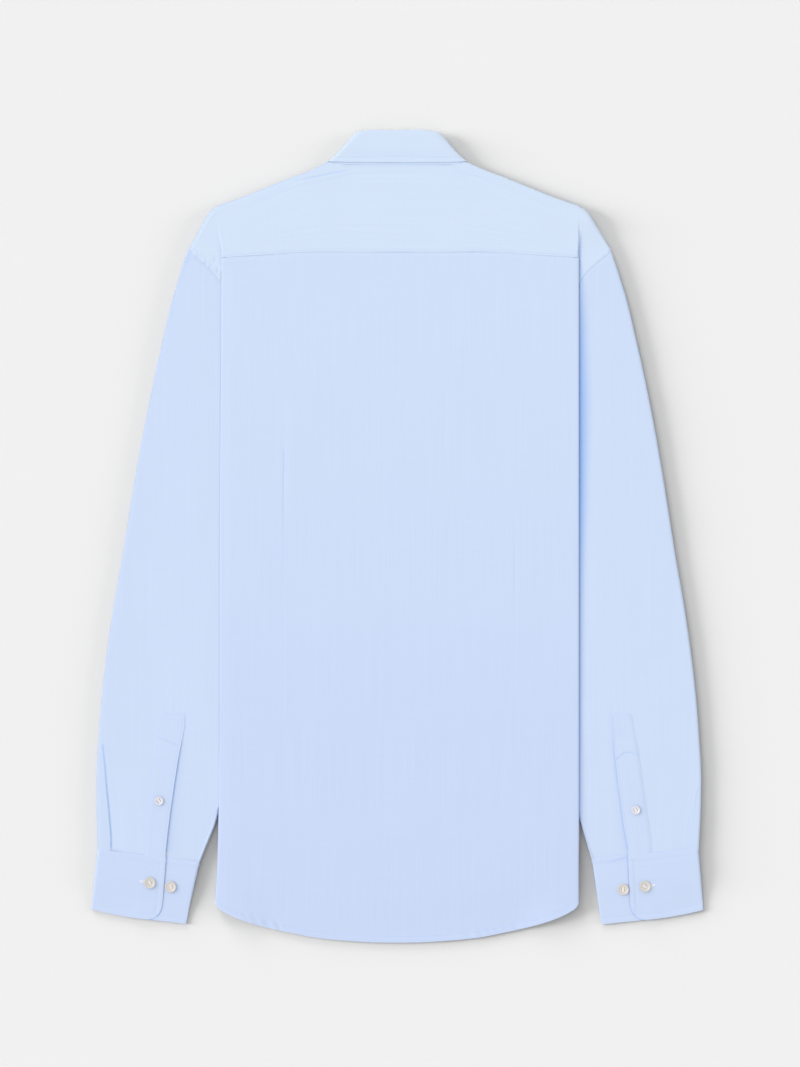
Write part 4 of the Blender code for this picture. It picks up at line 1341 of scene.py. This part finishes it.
def collar_point(side, x, y, turn, upper, lower, slack=0.0):
    """A point of the collar's ring: upper on the back, lower on the front."""
    at_side = next(row for row in COLLAR if row.turn == 0)
    run_x, run_y = at_side.roll.x - at_side.neck.x, at_side.roll.y + ROLL_TOP - at_side.neck.y
    radius = (upper - lower) / 2
    out = (radius + slack) * math.cos(turn) / math.hypot(run_x, run_y)
    return place(side, x + run_y * out, y - run_x * out, lower + radius * (1 + math.sin(turn)))


def stand_grid():
    """The collar's stand, from the neck seam up to the roll, and its ends that lap."""

    def half(side):
        rows = collar_rows(STAND_COLUMNS)
        last = rows[-1]
        rows += [last._replace(neck=Place(x, last.neck.y + 1), roll=Place(x, last.roll.y)) for x in (-4, -12)]
        columns = []
        for turn, neck, roll, _ in rows:
            column = []
            for share in steps((0, 5), (0.12, 7), (1, 0)):
                x, y = mix(neck.x, roll.x, share), mix(neck.y, roll.y, share)
                upper = back_height(y) - 0.35 - 0.1 * share
                lap = lap_lift(side) * fall(abs(x), *LAP_EASE) if turn < -1.5 else 0.0
                column.append(collar_point(side, x, y, turn, upper, floor_cloth() + max(lap, LAYER)))
            columns.append(column)
        return np.array(columns)

    return both(half)


def fall_point(side, row, share, above=0.0):
    """A point of the fall, from its roll down to its edge."""
    turn, _, roll, edge = row
    waist = 1.6 * math.sin(math.pi * share) * math.cos(turn) * share
    x, y = mix(roll.x, edge.x, share) - waist, mix(roll.y, edge.y, share) - waist
    to_edge = math.dist(roll, edge) * (1 - share)
    sewn = 0.16 * bump(to_edge - 2.6, 2.4) - 0.2 * bump(to_edge - FALL_STITCH, 0.8)
    lift = (sewn + 0.12 * ripple(x * side, y, 61, 38) + above) * max(math.sin(turn), 0.0)
    upper = back_height(y) + mix(LAYER, 0.4, rise(share, 0.45, 0.95)) + lift
    return collar_point(side, x, y, turn, upper, floor_cloth(), FALL_GAP)


def fall_grid():
    """The collar's fall: over the roll and down to its edge."""

    def half(side):
        columns = []
        for row in collar_rows(FALL_COLUMNS):
            turn, neck, roll, _ = row
            length = math.dist(roll, neck)
            up = Place((roll.x - neck.x) / length, (roll.y - neck.y) / length)
            column = []
            for bend in np.radians(np.linspace(-90, 90, 9)):
                out = ROLL_ROUND * math.cos(bend) + 1.1
                x, y = roll.x + up.x * out, roll.y + up.y * out
                layer = LAYER * (1 + math.sin(bend)) / 2
                upper, lower = back_height(roll.y) - 0.45 + layer, floor_cloth() + LAYER - layer
                column.append(collar_point(side, x, y, turn, upper, lower, FALL_GAP))
            shares = steps((0, 14), (0.72, 5), (0.84, 8), (1, 0))[1:]
            columns.append(column + [fall_point(side, row, share) for share in shares])
        return np.array(columns)

    return both(half)


# Materials


def linear(colour):
    """An sRGB hex colour as linear red, green and blue."""
    channels = [int(colour[start : start + 2], 16) / 255 for start in (1, 3, 5)]
    return tuple(c / 12.92 if c <= 0.04045 else ((c + 0.055) / 1.055) ** 2.4 for c in channels)


def feed(node, inputs):
    """Set a node's inputs, by name or number, to values or to the sockets that feed them."""
    for name, value in inputs.items():
        if isinstance(value, bpy.types.NodeSocket):
            node.id_data.links.new(value, node.inputs[name])
        else:
            node.inputs[name].default_value = value


def add_node(tree, kind, inputs, out=0, **settings):
    """Add a node with its settings and its inputs, and return one of its outputs."""
    node = tree.nodes.new(f"ShaderNode{kind}")
    for key, value in settings.items():
        setattr(node, key, value)
    feed(node, inputs)
    return node.outputs[out]


def cotton_poplin(tree, contrast):
    """Plain-woven cotton: matte and soft, with fine uneven threads along and across it.

    Poplin has about 45 threads a centimetre, too fine to see from where a whole shirt is
    seen, so the thicker threads among them are drawn, 1.1 to 1.6 mm apart.
    """
    cloth = bpy.context.scene.shirt_cloth
    cut = add_node(tree, "UVMap", {}, uv_map="cut")
    layers = []
    for scale in ((780.0, 9.0, 1.0), (13.0, 560.0, 1.0), (240.0, 5.0, 1.0), (1500.0, 1500.0, 1.0)):
        spot = add_node(tree, "Mapping", {"Vector": cut, "Scale": scale})
        layers.append(add_node(tree, "TexNoise", {"Vector": spot, "Scale": 1.0, "Detail": 1.5}))
    warp, weft, slub, grain = layers
    threads = add_node(tree, "Math", {0: warp, 1: 0.55}, operation="MULTIPLY")
    for layer, share in ((weft, 0.25), (slub, 0.2)):
        threads = add_node(tree, "Math", {0: layer, 1: share, 2: threads}, operation="MULTIPLY_ADD")
    tone = add_node(tree, "Attribute", {}, "Fac", attribute_name="tone")
    shades = {"Factor": tone, 6: (*cloth.deep, 1.0), 7: (*cloth.pale, 1.0)}
    toned = add_node(tree, "Mix", shades, 2, data_type="RGBA")
    # Painted shade: where the crease attribute says, the dye is mixed towards a deep saturated blue that
    # stands in for the blue shade deep in a crease.
    crease = add_node(tree, "Attribute", {}, "Fac", attribute_name="crease")
    shades = {"Factor": crease, 6: toned, 7: (*cloth.crease, 1.0)}
    with_painted_shade = add_node(tree, "Mix", shades, 2, data_type="RGBA")
    span = {"From Min": 0.36, "From Max": 0.64, "To Min": 1 - contrast, "To Max": 1 + contrast}
    darker = add_node(tree, "MapRange", {"Value": threads, **span})
    height = add_node(tree, "Math", {0: grain, 1: 0.5, 2: threads}, operation="MULTIPLY_ADD")
    return {
        "Base Color": add_node(tree, "VectorMath", {0: with_painted_shade, "Scale": darker}, operation="SCALE"),
        "Normal": add_node(tree, "Bump", {"Height": height, "Strength": 0.25, "Distance": 0.00012}),
        "Roughness": 0.88,
        "Specular IOR Level": 0.25,
        "Sheen Weight": 0.12,
        "Sheen Roughness": 0.5,
    }


def polyester_thread(tree, group, setting):
    """Spun polyester thread: a touch smoother than the cloth, with a faint twist."""
    colour = tuple(getattr(getattr(bpy.context.scene, group), setting))
    light = (*[min(channel * 1.12, 1.0) for channel in colour], 1.0)
    spot = add_node(tree, "TexCoord", {}, "Object")
    twist = add_node(tree, "TexNoise", {"Vector": spot, "Scale": 900.0, "Detail": 1.0})
    mixed = add_node(tree, "Mix", {"Factor": twist, 6: (*colour, 1.0), 7: light}, 2, data_type="RGBA")
    return {"Base Color": mixed, "Roughness": 0.6}


def pearl_resin(tree, middle_colour, rim_colour):
    """Cast polyester resin with pearl flakes: a soft gloss, a milky middle and a warmer rim."""
    buttons = bpy.context.scene.shirt_buttons
    ring = add_node(tree, "Attribute", {}, "Fac", attribute_name="ring")
    spot = add_node(tree, "TexCoord", {}, "Object")
    flakes = {"Vector": spot, "Scale": 260.0, "Detail": 3.0, "Distortion": 1.6}
    swirl = add_node(tree, "TexNoise", flakes)
    rim = add_node(tree, "MapRange", {"Value": ring, "From Min": 0.42, "From Max": 0.72})
    warm = add_node(tree, "Math", {0: swirl, 1: 0.9, 2: -0.45}, operation="MULTIPLY_ADD")
    share = add_node(tree, "Math", {0: rim, 1: warm}, operation="ADD", use_clamp=True)
    inner, outer = [(*getattr(buttons, setting), 1.0) for setting in (middle_colour, rim_colour)]
    return {
        "Base Color": add_node(tree, "Mix", {"Factor": share, 6: inner, 7: outer}, 2, data_type="RGBA"),
        "Roughness": 0.28,
        "IOR": 1.56,
        "Coat Weight": 0.3,
        "Coat Roughness": 0.15,
    }


def paper_sweep(tree):
    """Matt background paper: even, nearly white, with the faintest mottle."""
    spot = add_node(tree, "TexCoord", {}, "Object")
    mottle = add_node(tree, "TexNoise", {"Vector": spot, "Scale": 3.0, "Detail": 2.0})
    shades = {"Factor": mottle, 6: (*linear("#A9A9A9"), 1.0), 7: (*linear("#AAAAAA"), 1.0)}
    mixed = add_node(tree, "Mix", shades, 2, data_type="RGBA")
    return {"Base Color": mixed, "Roughness": 1.0, "Specular IOR Level": 0.0}


# What each material is made with, and what it gives the eye
MATERIALS = {
    # Matte and soft, a clear light blue with faint threads, with shade painted deep blue into its creases
    "cotton poplin": (cotton_poplin, 0.014),
    # The same poplin fused to an interlining, which holds it flat and evens out its threads, with the same
    # painted shade
    "interlined poplin": (cotton_poplin, 0.012),
    # Fine stitches, a touch deeper in colour than the cloth
    "polyester sewing thread": (polyester_thread, "shirt_sewing", "colour"),
    # Nearly white beside the pearl, for the buttons and buttonholes
    "white button thread": (polyester_thread, "shirt_buttons", "thread"),
    # A soft gloss over a milky middle and a warmer rim
    "pearl polyester resin": (pearl_resin, "pearl", "rim"),
    # The same resin cast paler, for the small buttons
    "pale pearl polyester resin": (pearl_resin, "pale", "pale_rim"),
    # A plain light ground that shows soft shadows
    "matt white paper": (paper_sweep,),
}


def material(name):
    """The material of that name, made when it is first asked for."""
    made = bpy.data.materials.get(name)
    if made is None:
        made = bpy.data.materials.new(name)
        made.use_nodes = True
        recipe, *options = MATERIALS[name]
        feed(made.node_tree.nodes["Principled BSDF"], recipe(made.node_tree, *options))
    return made


# Buttons


def select_edges(piece, distance, low, high):
    """In edit mode, select only the edges at a distance from the axis and between heights."""
    bpy.ops.mesh.select_all(action="DESELECT")
    bpy.ops.mesh.select_mode(type="EDGE")
    shape = bmesh.from_edit_mesh(piece.data)
    for edge in shape.edges:
        spots = [vert.co / MM for vert in edge.verts]
        near = all(abs(math.hypot(spot.x, spot.y) - distance) < 0.06 for spot in spots)
        edge.select = near and all(low < spot.z < high for spot in spots)
    bmesh.update_edit_mesh(piece.data)


def select_top(piece):
    """In edit mode, select only the faces that look up."""
    bpy.ops.mesh.select_mode(type="FACE")
    bpy.ops.mesh.select_all(action="DESELECT")
    shape = bmesh.from_edit_mesh(piece.data)
    for face in shape.faces:
        face.select = face.normal.z > 0.9
    bmesh.update_edit_mesh(piece.data)


def add_cylinder(sides, radius, depth, spot):
    """A round bar, its sizes and the place of its middle in millimetres."""
    deselect()
    sizes = {"radius": radius * MM, "depth": depth * MM, "location": [value * MM for value in spot]}
    bpy.ops.mesh.primitive_cylinder_add(vertices=sides, **sizes)
    return bpy.context.active_object


def turned_button(diameter):
    """A four-hole button: flat back, rounded edge, raised rim and dished middle."""
    radius, above = diameter / 2, BUTTON_THICK + 1
    piece = add_cylinder(48, radius, BUTTON_THICK, (0, 0, BUTTON_THICK / 2))
    bpy.ops.object.transform_apply(location=True, rotation=True, scale=True)
    bpy.ops.object.mode_set(mode="EDIT")
    select_top(piece)
    for wide, deep in ((BUTTON_RIM, 0.0), (0.7, -0.6), (0.5, -0.12)):
        bpy.ops.mesh.inset(thickness=wide * MM, depth=deep * MM)
    for distance, low, high, offset, segments in (
        (radius, 1.5, above, 0.55, 4),
        (radius, -1.0, 0.1, 0.4, 3),
        (radius - BUTTON_RIM, BUTTON_THICK - 0.1, above, 0.25, 3),
    ):
        select_edges(piece, distance, low, high)
        bpy.ops.mesh.bevel(offset=offset * MM, segments=segments)
    bpy.ops.object.mode_set(mode="OBJECT")
    pins = []
    for quarter in range(4):
        angle = math.pi / 4 + quarter * math.pi / 2
        spot = (HOLE_OFFSET * math.cos(angle), HOLE_OFFSET * math.sin(angle), 0)
        pins.append(add_cylinder(16, HOLE_RADIUS, 4 * BUTTON_THICK, spot))
        cut = piece.modifiers.new("hole", "BOOLEAN")
        cut.operation = "DIFFERENCE"
        cut.solver = "EXACT"
        cut.object = pins[-1]
    apply_all(piece)
    for pin in pins:
        bpy.data.objects.remove(pin)
    keep(piece, "ring", [math.hypot(vert.co.x, vert.co.y) / (radius * MM) for vert in piece.data.vertices])
    smooth(piece, 35)
    return piece


def tube(name, paths, radius, finish, sides=6):
    """Closed round tubes along paths of a few points each, as one piece."""
    points, faces = [], []
    for path in np.array(paths, dtype=float):
        heading = np.gradient(path, axis=0)
        heading /= np.linalg.norm(heading, axis=1, keepdims=True)
        across = np.cross(heading[len(path) // 2], [0.0, 0.0, 1.0])
        across /= np.linalg.norm(across)
        start = len(points)
        for spot, ahead in zip(path, heading):
            up = np.cross(across, ahead)
            points += [spot + radius * (across * math.cos(a) + up * math.sin(a)) for a in circle(sides)]
        ends = range(start + sides - 1, start - 1, -1), range(len(points) - sides, len(points))
        faces += ring_faces(start, len(path), sides) + [tuple(end) for end in ends]
    piece = mesh_piece(name, points, faces)
    face_outward(piece.data)
    smooth(piece, 60)
    return dress(piece, finish)


def thread_loops():
    """Two strands up through one hole, across and down through the next, on both sides."""
    hole = HOLE_OFFSET * math.sqrt(0.5)
    loops = []
    for across in (-hole, hole):
        for shift in (-STRAND, STRAND):
            y = across + shift
            rising = [(-hole, y, -0.5), (-hole, y, 1.2), (-hole + 0.3, y, 1.62), (0.0, y, 1.74)]
            loops.append(rising + [(-x, at, z) for x, at, z in rising[-2::-1]])
    return loops


def sewn_on(sewn, turned):
    """Put a copy of a button at its place, with the thread through its holes."""
    piece = bpy.data.objects.new(f"{sewn.name}_turned", turned.data.copy())
    bpy.context.scene.collection.objects.link(piece)
    turn = Matrix.Rotation(0.0 if sewn.face_up else math.pi, 4, "X") @ Matrix.Rotation(sewn.tilt, 4, "Y")
    move = Matrix.Translation(Vector(button_base(sewn.name)) * MM) @ turn @ Matrix.Rotation(sewn.spin, 4, "Z")
    piece.data.transform(move)
    resin = "pale pearl polyester resin" if "placket" in sewn.name else "pearl polyester resin"
    dress(piece, resin, sewn.name)
    strands = [[tuple((move @ (Vector(point) * MM)) / MM) for point in loop] for loop in thread_loops()]
    tube(f"{sewn.name}_thread", strands, STRAND, "white button thread")


def button_base(name):
    """Where a button's back lies: a short shank above or below the cloth's face."""
    x, y, _ = middle(name)
    side = RIGHT if x > 0 else LEFT
    lift = cloth_wall() / 2 + SHANK
    if name.startswith("cuff"):
        floor, under = cuff_heights()[:2]
        down = cuff_down(side, abs(x), y)
        height = mix(floor, under, cuff_press(down)) if "spare" in name else over_pressed(0.45, down)
        return x, y, float(height) + lift
    if name.startswith("sleeve"):
        lap, seam = [read(edge[side], y) for edge in (PLACKET_LAP, PLACKET_SEAM)]
        share = (mirrored_x(x, y) - lap) / (seam - lap)
        return x, y, float(placket_point(side, share, y)[2]) + lift
    return x, y, BUTTON_THICK + 0.08


# Rows of stitches on each panel


def hem_path():
    """Along the back's hem, from side to side."""
    x = np.linspace(0, BODY_FOLD - 1, 200)
    return both(lambda side: back_point(side, x, hem_line(x) + HEM_STITCH, on_top()))


def yoke_paths():
    """Along the yoke's seam with the back, along its neck and round each armhole."""
    seam_x, neck_x, arm_x = np.linspace(0, 177, 120), np.linspace(0, 60, 50), np.linspace(187, 208.5, 30)

    def row(side, x, y):
        height = np.array([yoke_top_height(side, *spot) for spot in zip(x, y)])
        return place(side, x, y, height + yoke_relief(side, x, y) + on_top())

    return [
        both(lambda side: row(side, seam_x, read(YOKE_SEAM, seam_x) + YOKE_STITCH)),
        both(lambda side: row(side, neck_x, read(NECK_SEAM, neck_x) - NECK_STITCH)),
        *[row(side, arm_x, read(ARMHOLE, arm_x) + YOKE_STITCH) for side in (LEFT, RIGHT)],
    ]


def cuff_paths(side):
    """Round the overlap, and along the part of the underlap that shows."""
    under = cuff_heights()[1]
    out = CUFF_SEWN * (1 - OVERLAP[side][0]) - 30.0
    band, low = BAND_SEAM / CUFF_TALL, 1 - CUFF_STITCH / CUFF_TALL
    bend = CUFF_ROUND - CUFF_STITCH
    corner = [
        (CUFF_ROUND - bend * math.cos(turn), 1 - (CUFF_ROUND - bend * math.sin(turn)) / CUFF_TALL)
        for turn in np.radians(np.linspace(0, 90, 14))
    ]
    outline = [*[(CUFF_STITCH, down) for down in np.linspace(band, corner[0][1], 12)[:-1]], *corner]
    outline += [(beyond, low) for beyond in np.linspace(CUFF_ROUND, out, 16)[1:]]
    top = [(beyond, band) for beyond in np.linspace(CUFF_STITCH, out, 20)]
    paths = [np.array([over_point(side, *spot, on_top()) for spot in row]) for row in (outline, top)]
    for down in (band, low):
        shares = np.linspace(0.03, 0.45, 16)
        paths.append(np.array([flat_point(side, share, down, under, True, on_top()) for share in shares]))
    return paths


def placket_paths(side):
    """Up both edges of a sleeve placket, across its box and along its top."""
    low = BAND_STITCH / PLACKET_WIDE
    top = PLACKET_TOP - BAND_STITCH
    y = np.linspace(-309.0, top, 60)
    across = np.linspace(low, 1 - low, 12)
    rows = [(low, y), (1 - low, y), (across, box_line(side, across)), (across, top)]
    return [placket_point(side, *row, on_top()) for row in rows]


def fall_path():
    """Along the fall's edge, across the back and out to both sides."""
    rows = [row for row in collar_rows(FALL_COLUMNS) if row.turn >= math.radians(20)]

    def half(side):
        shares = [1 - FALL_STITCH / math.dist(row.roll, row.edge) for row in rows]
        return np.array([fall_point(side, row, share, on_top()) for row, share in zip(rows, shares)])

    return both(half)


def buttonhole_path(name, side):
    """An oval of close stitches round a slit, beside the button of a cuff."""
    x, y, _ = middle(f"cuff_button_{name}")
    inner, outer = [np.array(corner) for corner in CUFF_CORNERS[side][2:]]
    run = (outer - inner) / np.linalg.norm(outer - inner)
    up = np.array([-run[1], run[0]])
    centre = np.array([abs(x), y]) + run * HOLE_SHIFT
    height = over_pressed(0.5, cuff_down(side, *centre)) + on_top() + 0.1
    path = []
    for turn in np.linspace(0, 2 * math.pi, 60):
        spot = centre + run * HOLE_LONG / 2 * math.cos(turn) + up * HOLE_WIDE / 2 * math.sin(turn)
        path.append((spot[0] * side, spot[1], height))
    return np.array(path)


# Settings

Amount = partial(bpy.props.FloatProperty, min=0.0)
Length = partial(bpy.props.FloatProperty, unit="LENGTH")
Angle = partial(bpy.props.FloatProperty, subtype="ANGLE")
Colour = partial(bpy.props.FloatVectorProperty, subtype="COLOR", size=3)


class ShirtCloth(bpy.types.PropertyGroup):
    """The cloth's thickness and colours."""

    wall: Length(
        name="Thickness", description="Thickness of the cloth", default=0.0006, min=0.0005, max=0.001
    )
    pale: Colour(name="Pale", description="The dye where it looks palest", default=linear("#CEDDF1"))
    deep: Colour(name="Deep", description="The dye where it looks deepest", default=linear("#C4D3F0"))
    # Painted shade: the deep blue that the cloth is mixed towards in its creases
    crease: Colour(name="Crease", description="The dye deep in a crease", default=linear("#7DAEF0"))


class ShirtSewing(bpy.types.PropertyGroup):
    """The rows of stitches."""

    pitch: Length(name="Stitch", description="Length of one stitch", default=0.0026, min=0.0015, max=0.005)
    radius: Length(name="Thread", description="Radius of the thread", default=0.0002, min=0.0001, max=0.0004)
    colour: Colour(name="Thread", description="Colour of the sewing thread", default=linear("#BDD3F2"))


class ShirtButtons(bpy.types.PropertyGroup):
    """The buttons' size and colours."""

    diameter: Length(
        name="Button", description="Diameter of a cuff button", default=0.0114, min=0.009, max=0.014
    )
    small: Length(
        name="Small button", description="Diameter of a placket's button", default=0.009, min=0.007, max=0.011
    )
    pearl: Colour(name="Middle", description="Colour of a button's middle", default=linear("#D8D2CB"))
    rim: Colour(name="Rim", description="Colour of a button's rim", default=linear("#D2CDC8"))
    pale: Colour(name="Small middle", description="Colour of a small one's middle", default=linear("#E3E2E8"))
    pale_rim: Colour(name="Small rim", description="Colour of a small one's rim", default=linear("#DADBE3"))
    thread: Colour(name="Thread", description="Colour of the buttons' thread", default=linear("#F3F1F5"))


class ShirtStage(bpy.types.PropertyGroup):
    """The paper, the lights and the camera."""

    paper: Length(name="Paper", description="Side of the paper below", default=30.0, min=2.0)
    room: Amount(name="Room light", description="Light from all round", default=0.807)
    key: Amount(name="Key light", description="Strength of the high softbox", default=1.25)
    key_height: Angle(name="Key height", description="Angle of the high softbox", default=math.radians(43))
    key_spread: Angle(name="Key spread", description="Width of the high softbox", default=math.radians(56))
    skim: Amount(name="Skim light", description="Strength of the low softboxes", default=18.5)
    skim_height: Angle(name="Skim height", description="Angle of the low softboxes", default=math.radians(11))
    skim_spread: Angle(name="Skim spread", description="Width of the low softboxes", default=math.radians(22))
    camera: Length(name="Camera height", description="Camera's height over the paper", default=3.0, min=1.0)
    tall: Length(name="View", description="Height of the view on the paper", default=1.067, min=0.5)


# Operators


class SHIRT_OT_back(bpy.types.Operator):
    """Make the back panel with its darts, its hem and both sides turned under"""

    bl_idname = "shirt.back"
    bl_label = "Back"

    def execute(self, context):
        lay("back", [back_grid()], [hem_path()])
        return {"FINISHED"}


class SHIRT_OT_yoke(bpy.types.Operator):
    """Make the yoke, which turns over both shoulders"""

    bl_idname = "shirt.yoke"
    bl_label = "Yoke"

    def execute(self, context):
        lay("yoke", yoke_grids(), yoke_paths())
        return {"FINISHED"}


class SHIRT_OT_fronts(bpy.types.Operator):
    """Make both fronts, which lie face down and lap at the centre"""

    bl_idname = "shirt.fronts"
    bl_label = "Fronts"

    def execute(self, context):
        for name, side in SIDES.items():
            lay(f"front_{name}", front_grids(side))
        return {"FINISHED"}


class SHIRT_OT_sleeves(bpy.types.Operator):
    """Make both sleeves, drawn straight down beside the body"""

    bl_idname = "shirt.sleeves"
    bl_label = "Sleeves"

    def execute(self, context):
        for name, side in SIDES.items():
            lay(f"sleeve_{name}", [sleeve_grid(side)])
        return {"FINISHED"}


class SHIRT_OT_plackets(bpy.types.Operator):
    """Make the bands over the sleeves' slits"""

    bl_idname = "shirt.plackets"
    bl_label = "Sleeve plackets"

    def execute(self, context):
        for name, side in SIDES.items():
            grids, paths = [placket_grid(side)], placket_paths(side)
            lay(f"sleeve_placket_{name}", grids, paths)
        return {"FINISHED"}


class SHIRT_OT_cuffs(bpy.types.Operator):
    """Make both cuffs, each round its tube with its overlap on top, and their buttonholes"""

    bl_idname = "shirt.cuffs"
    bl_label = "Cuffs"

    def execute(self, context):
        for name, side in SIDES.items():
            oval = [buttonhole_path(name, side)]
            close = {"pitch": 0.5, "length": 1.3, "radius": 0.22, "crosswise": True}
            hole = sew(f"buttonhole_{name}", oval, finish="white button thread", **close)
            # Painted shade along the overlap's end and the cuff's other creases
            shade_lines = [(side, overlap_edge_shade(side)), *PAINTED_SHADES.get(f"cuff_{name}", [])]
            lies = on_underlap(side)
            lay(f"cuff_{name}", [cuff_grid(side)], cuff_paths(side), shade_lines, lies)
        return {"FINISHED"}


class SHIRT_OT_collar(bpy.types.Operator):
    """Make the collar's stand and the fall that is folded down over it"""

    bl_idname = "shirt.collar"
    bl_label = "Collar"

    def execute(self, context):
        lay("collar_stand", [stand_grid()])
        lay("collar_fall", [fall_grid()], [fall_path()])
        return {"FINISHED"}


class SHIRT_OT_buttons(bpy.types.Operator):
    """Turn the two sizes of button, and sew a copy on at each place"""

    bl_idname = "shirt.buttons"
    bl_label = "Buttons"

    def execute(self, context):
        buttons = context.scene.shirt_buttons
        whole, small = [turned_button(diameter / MM) for diameter in (buttons.diameter, buttons.small)]
        for sewn in BUTTONS:
            sewn_on(sewn, small if "placket" in sewn.name else whole)
        for turned in (whole, small):
            bpy.data.objects.remove(turned)
        return {"FINISHED"}


def softbox(name, strength, height, spread, across):
    """A large soft light far away, across being where it stands in plan."""
    data = bpy.data.lights.new(name, "SUN")
    data.energy = strength
    data.angle = spread
    lamp = bpy.data.objects.new(name, data)
    bpy.context.scene.collection.objects.link(lamp)
    out = Vector(across).normalized() * math.cos(height)
    lamp.rotation_euler = Vector((out.x, out.y, math.sin(height))).to_track_quat("Z", "Y").to_euler()
    return lamp


class SHIRT_OT_stage(bpy.types.Operator):
    """Lay the paper, hang the lights and set the camera straight above"""

    bl_idname = "shirt.stage"
    bl_label = "Stage"

    def execute(self, context):
        scene = context.scene
        setting = scene.shirt_stage
        reach = setting.paper / 2 / MM
        corners = [(x * reach, y * reach, -PAPER_GAP) for x, y in ((-1, -1), (1, -1), (1, 1), (-1, 1))]
        paper = mesh_piece("paper", corners, [(0, 1, 2, 3)])
        paper.data.materials.append(material("matt white paper"))
        softbox("key", setting.key, setting.key_height, setting.key_spread, KEY_SIDE)
        # The low lights only skim the paper, so that the cloth's own folds stay soft.
        skimmed = bpy.data.collections.new("skimmed")
        skimmed.objects.link(paper)
        for name, (across, share) in SKIMS.items():
            low = softbox(name, setting.skim * share, setting.skim_height, setting.skim_spread, across)
            low.light_linking.receiver_collection = skimmed
        scene.world = bpy.data.worlds.new("room")
        scene.world.use_nodes = True
        light = {"Color": (1, 1, 1, 1), "Strength": setting.room}
        feed(scene.world.node_tree.nodes["Background"], light)
        scene.view_settings.view_transform = "Standard"
        lens = bpy.data.cameras.new("camera")
        lens.sensor_width = SENSOR
        lens.lens = SENSOR * setting.camera / setting.tall
        lens.clip_end = 100
        eye = bpy.data.objects.new("camera", lens)
        eye.location = (*VIEW_MIDDLE, setting.camera)
        scene.collection.objects.link(eye)
        scene.camera = eye
        return {"FINISHED"}


GROUPS = {
    "shirt_cloth": ShirtCloth,
    "shirt_sewing": ShirtSewing,
    "shirt_buttons": ShirtButtons,
    "shirt_stage": ShirtStage,
}
OPERATORS = [
    SHIRT_OT_back,
    SHIRT_OT_yoke,
    SHIRT_OT_fronts,
    SHIRT_OT_sleeves,
    SHIRT_OT_plackets,
    SHIRT_OT_cuffs,
    SHIRT_OT_collar,
    SHIRT_OT_buttons,
    SHIRT_OT_stage,
]


class SHIRT_PT_panel(bpy.types.Panel):
    """Settings and pieces of the laid shirt"""

    bl_label = "Laid Shirt"
    bl_idname = "SHIRT_PT_panel"
    bl_space_type = "VIEW_3D"
    bl_region_type = "UI"
    bl_category = "Shirt"

    def draw(self, context):
        for group, kind in GROUPS.items():
            box = self.layout.box()
            for name in kind.__annotations__:
                box.prop(getattr(context.scene, group), name)
        for operator in OPERATORS:
            self.layout.operator(operator.bl_idname)


def register():
    for kind in (*GROUPS.values(), *OPERATORS, SHIRT_PT_panel):
        bpy.utils.register_class(kind)
    for group, kind in GROUPS.items():
        setattr(bpy.types.Scene, group, bpy.props.PointerProperty(type=kind))


def unregister():
    for group in GROUPS:
        delattr(bpy.types.Scene, group)
    for kind in (SHIRT_PT_panel, *OPERATORS[::-1], *list(GROUPS.values())[::-1]):
        bpy.utils.unregister_class(kind)


def main():
    """Make the whole shirt and its stage."""
    register()
    bpy.ops.shirt.back()
    bpy.ops.shirt.yoke()
    bpy.ops.shirt.fronts()
    bpy.ops.shirt.sleeves()
    bpy.ops.shirt.plackets()
    bpy.ops.shirt.cuffs()
    bpy.ops.shirt.collar()
    bpy.ops.shirt.buttons()
    bpy.ops.shirt.stage()
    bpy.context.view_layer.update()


if __name__ == "__main__":
    main()
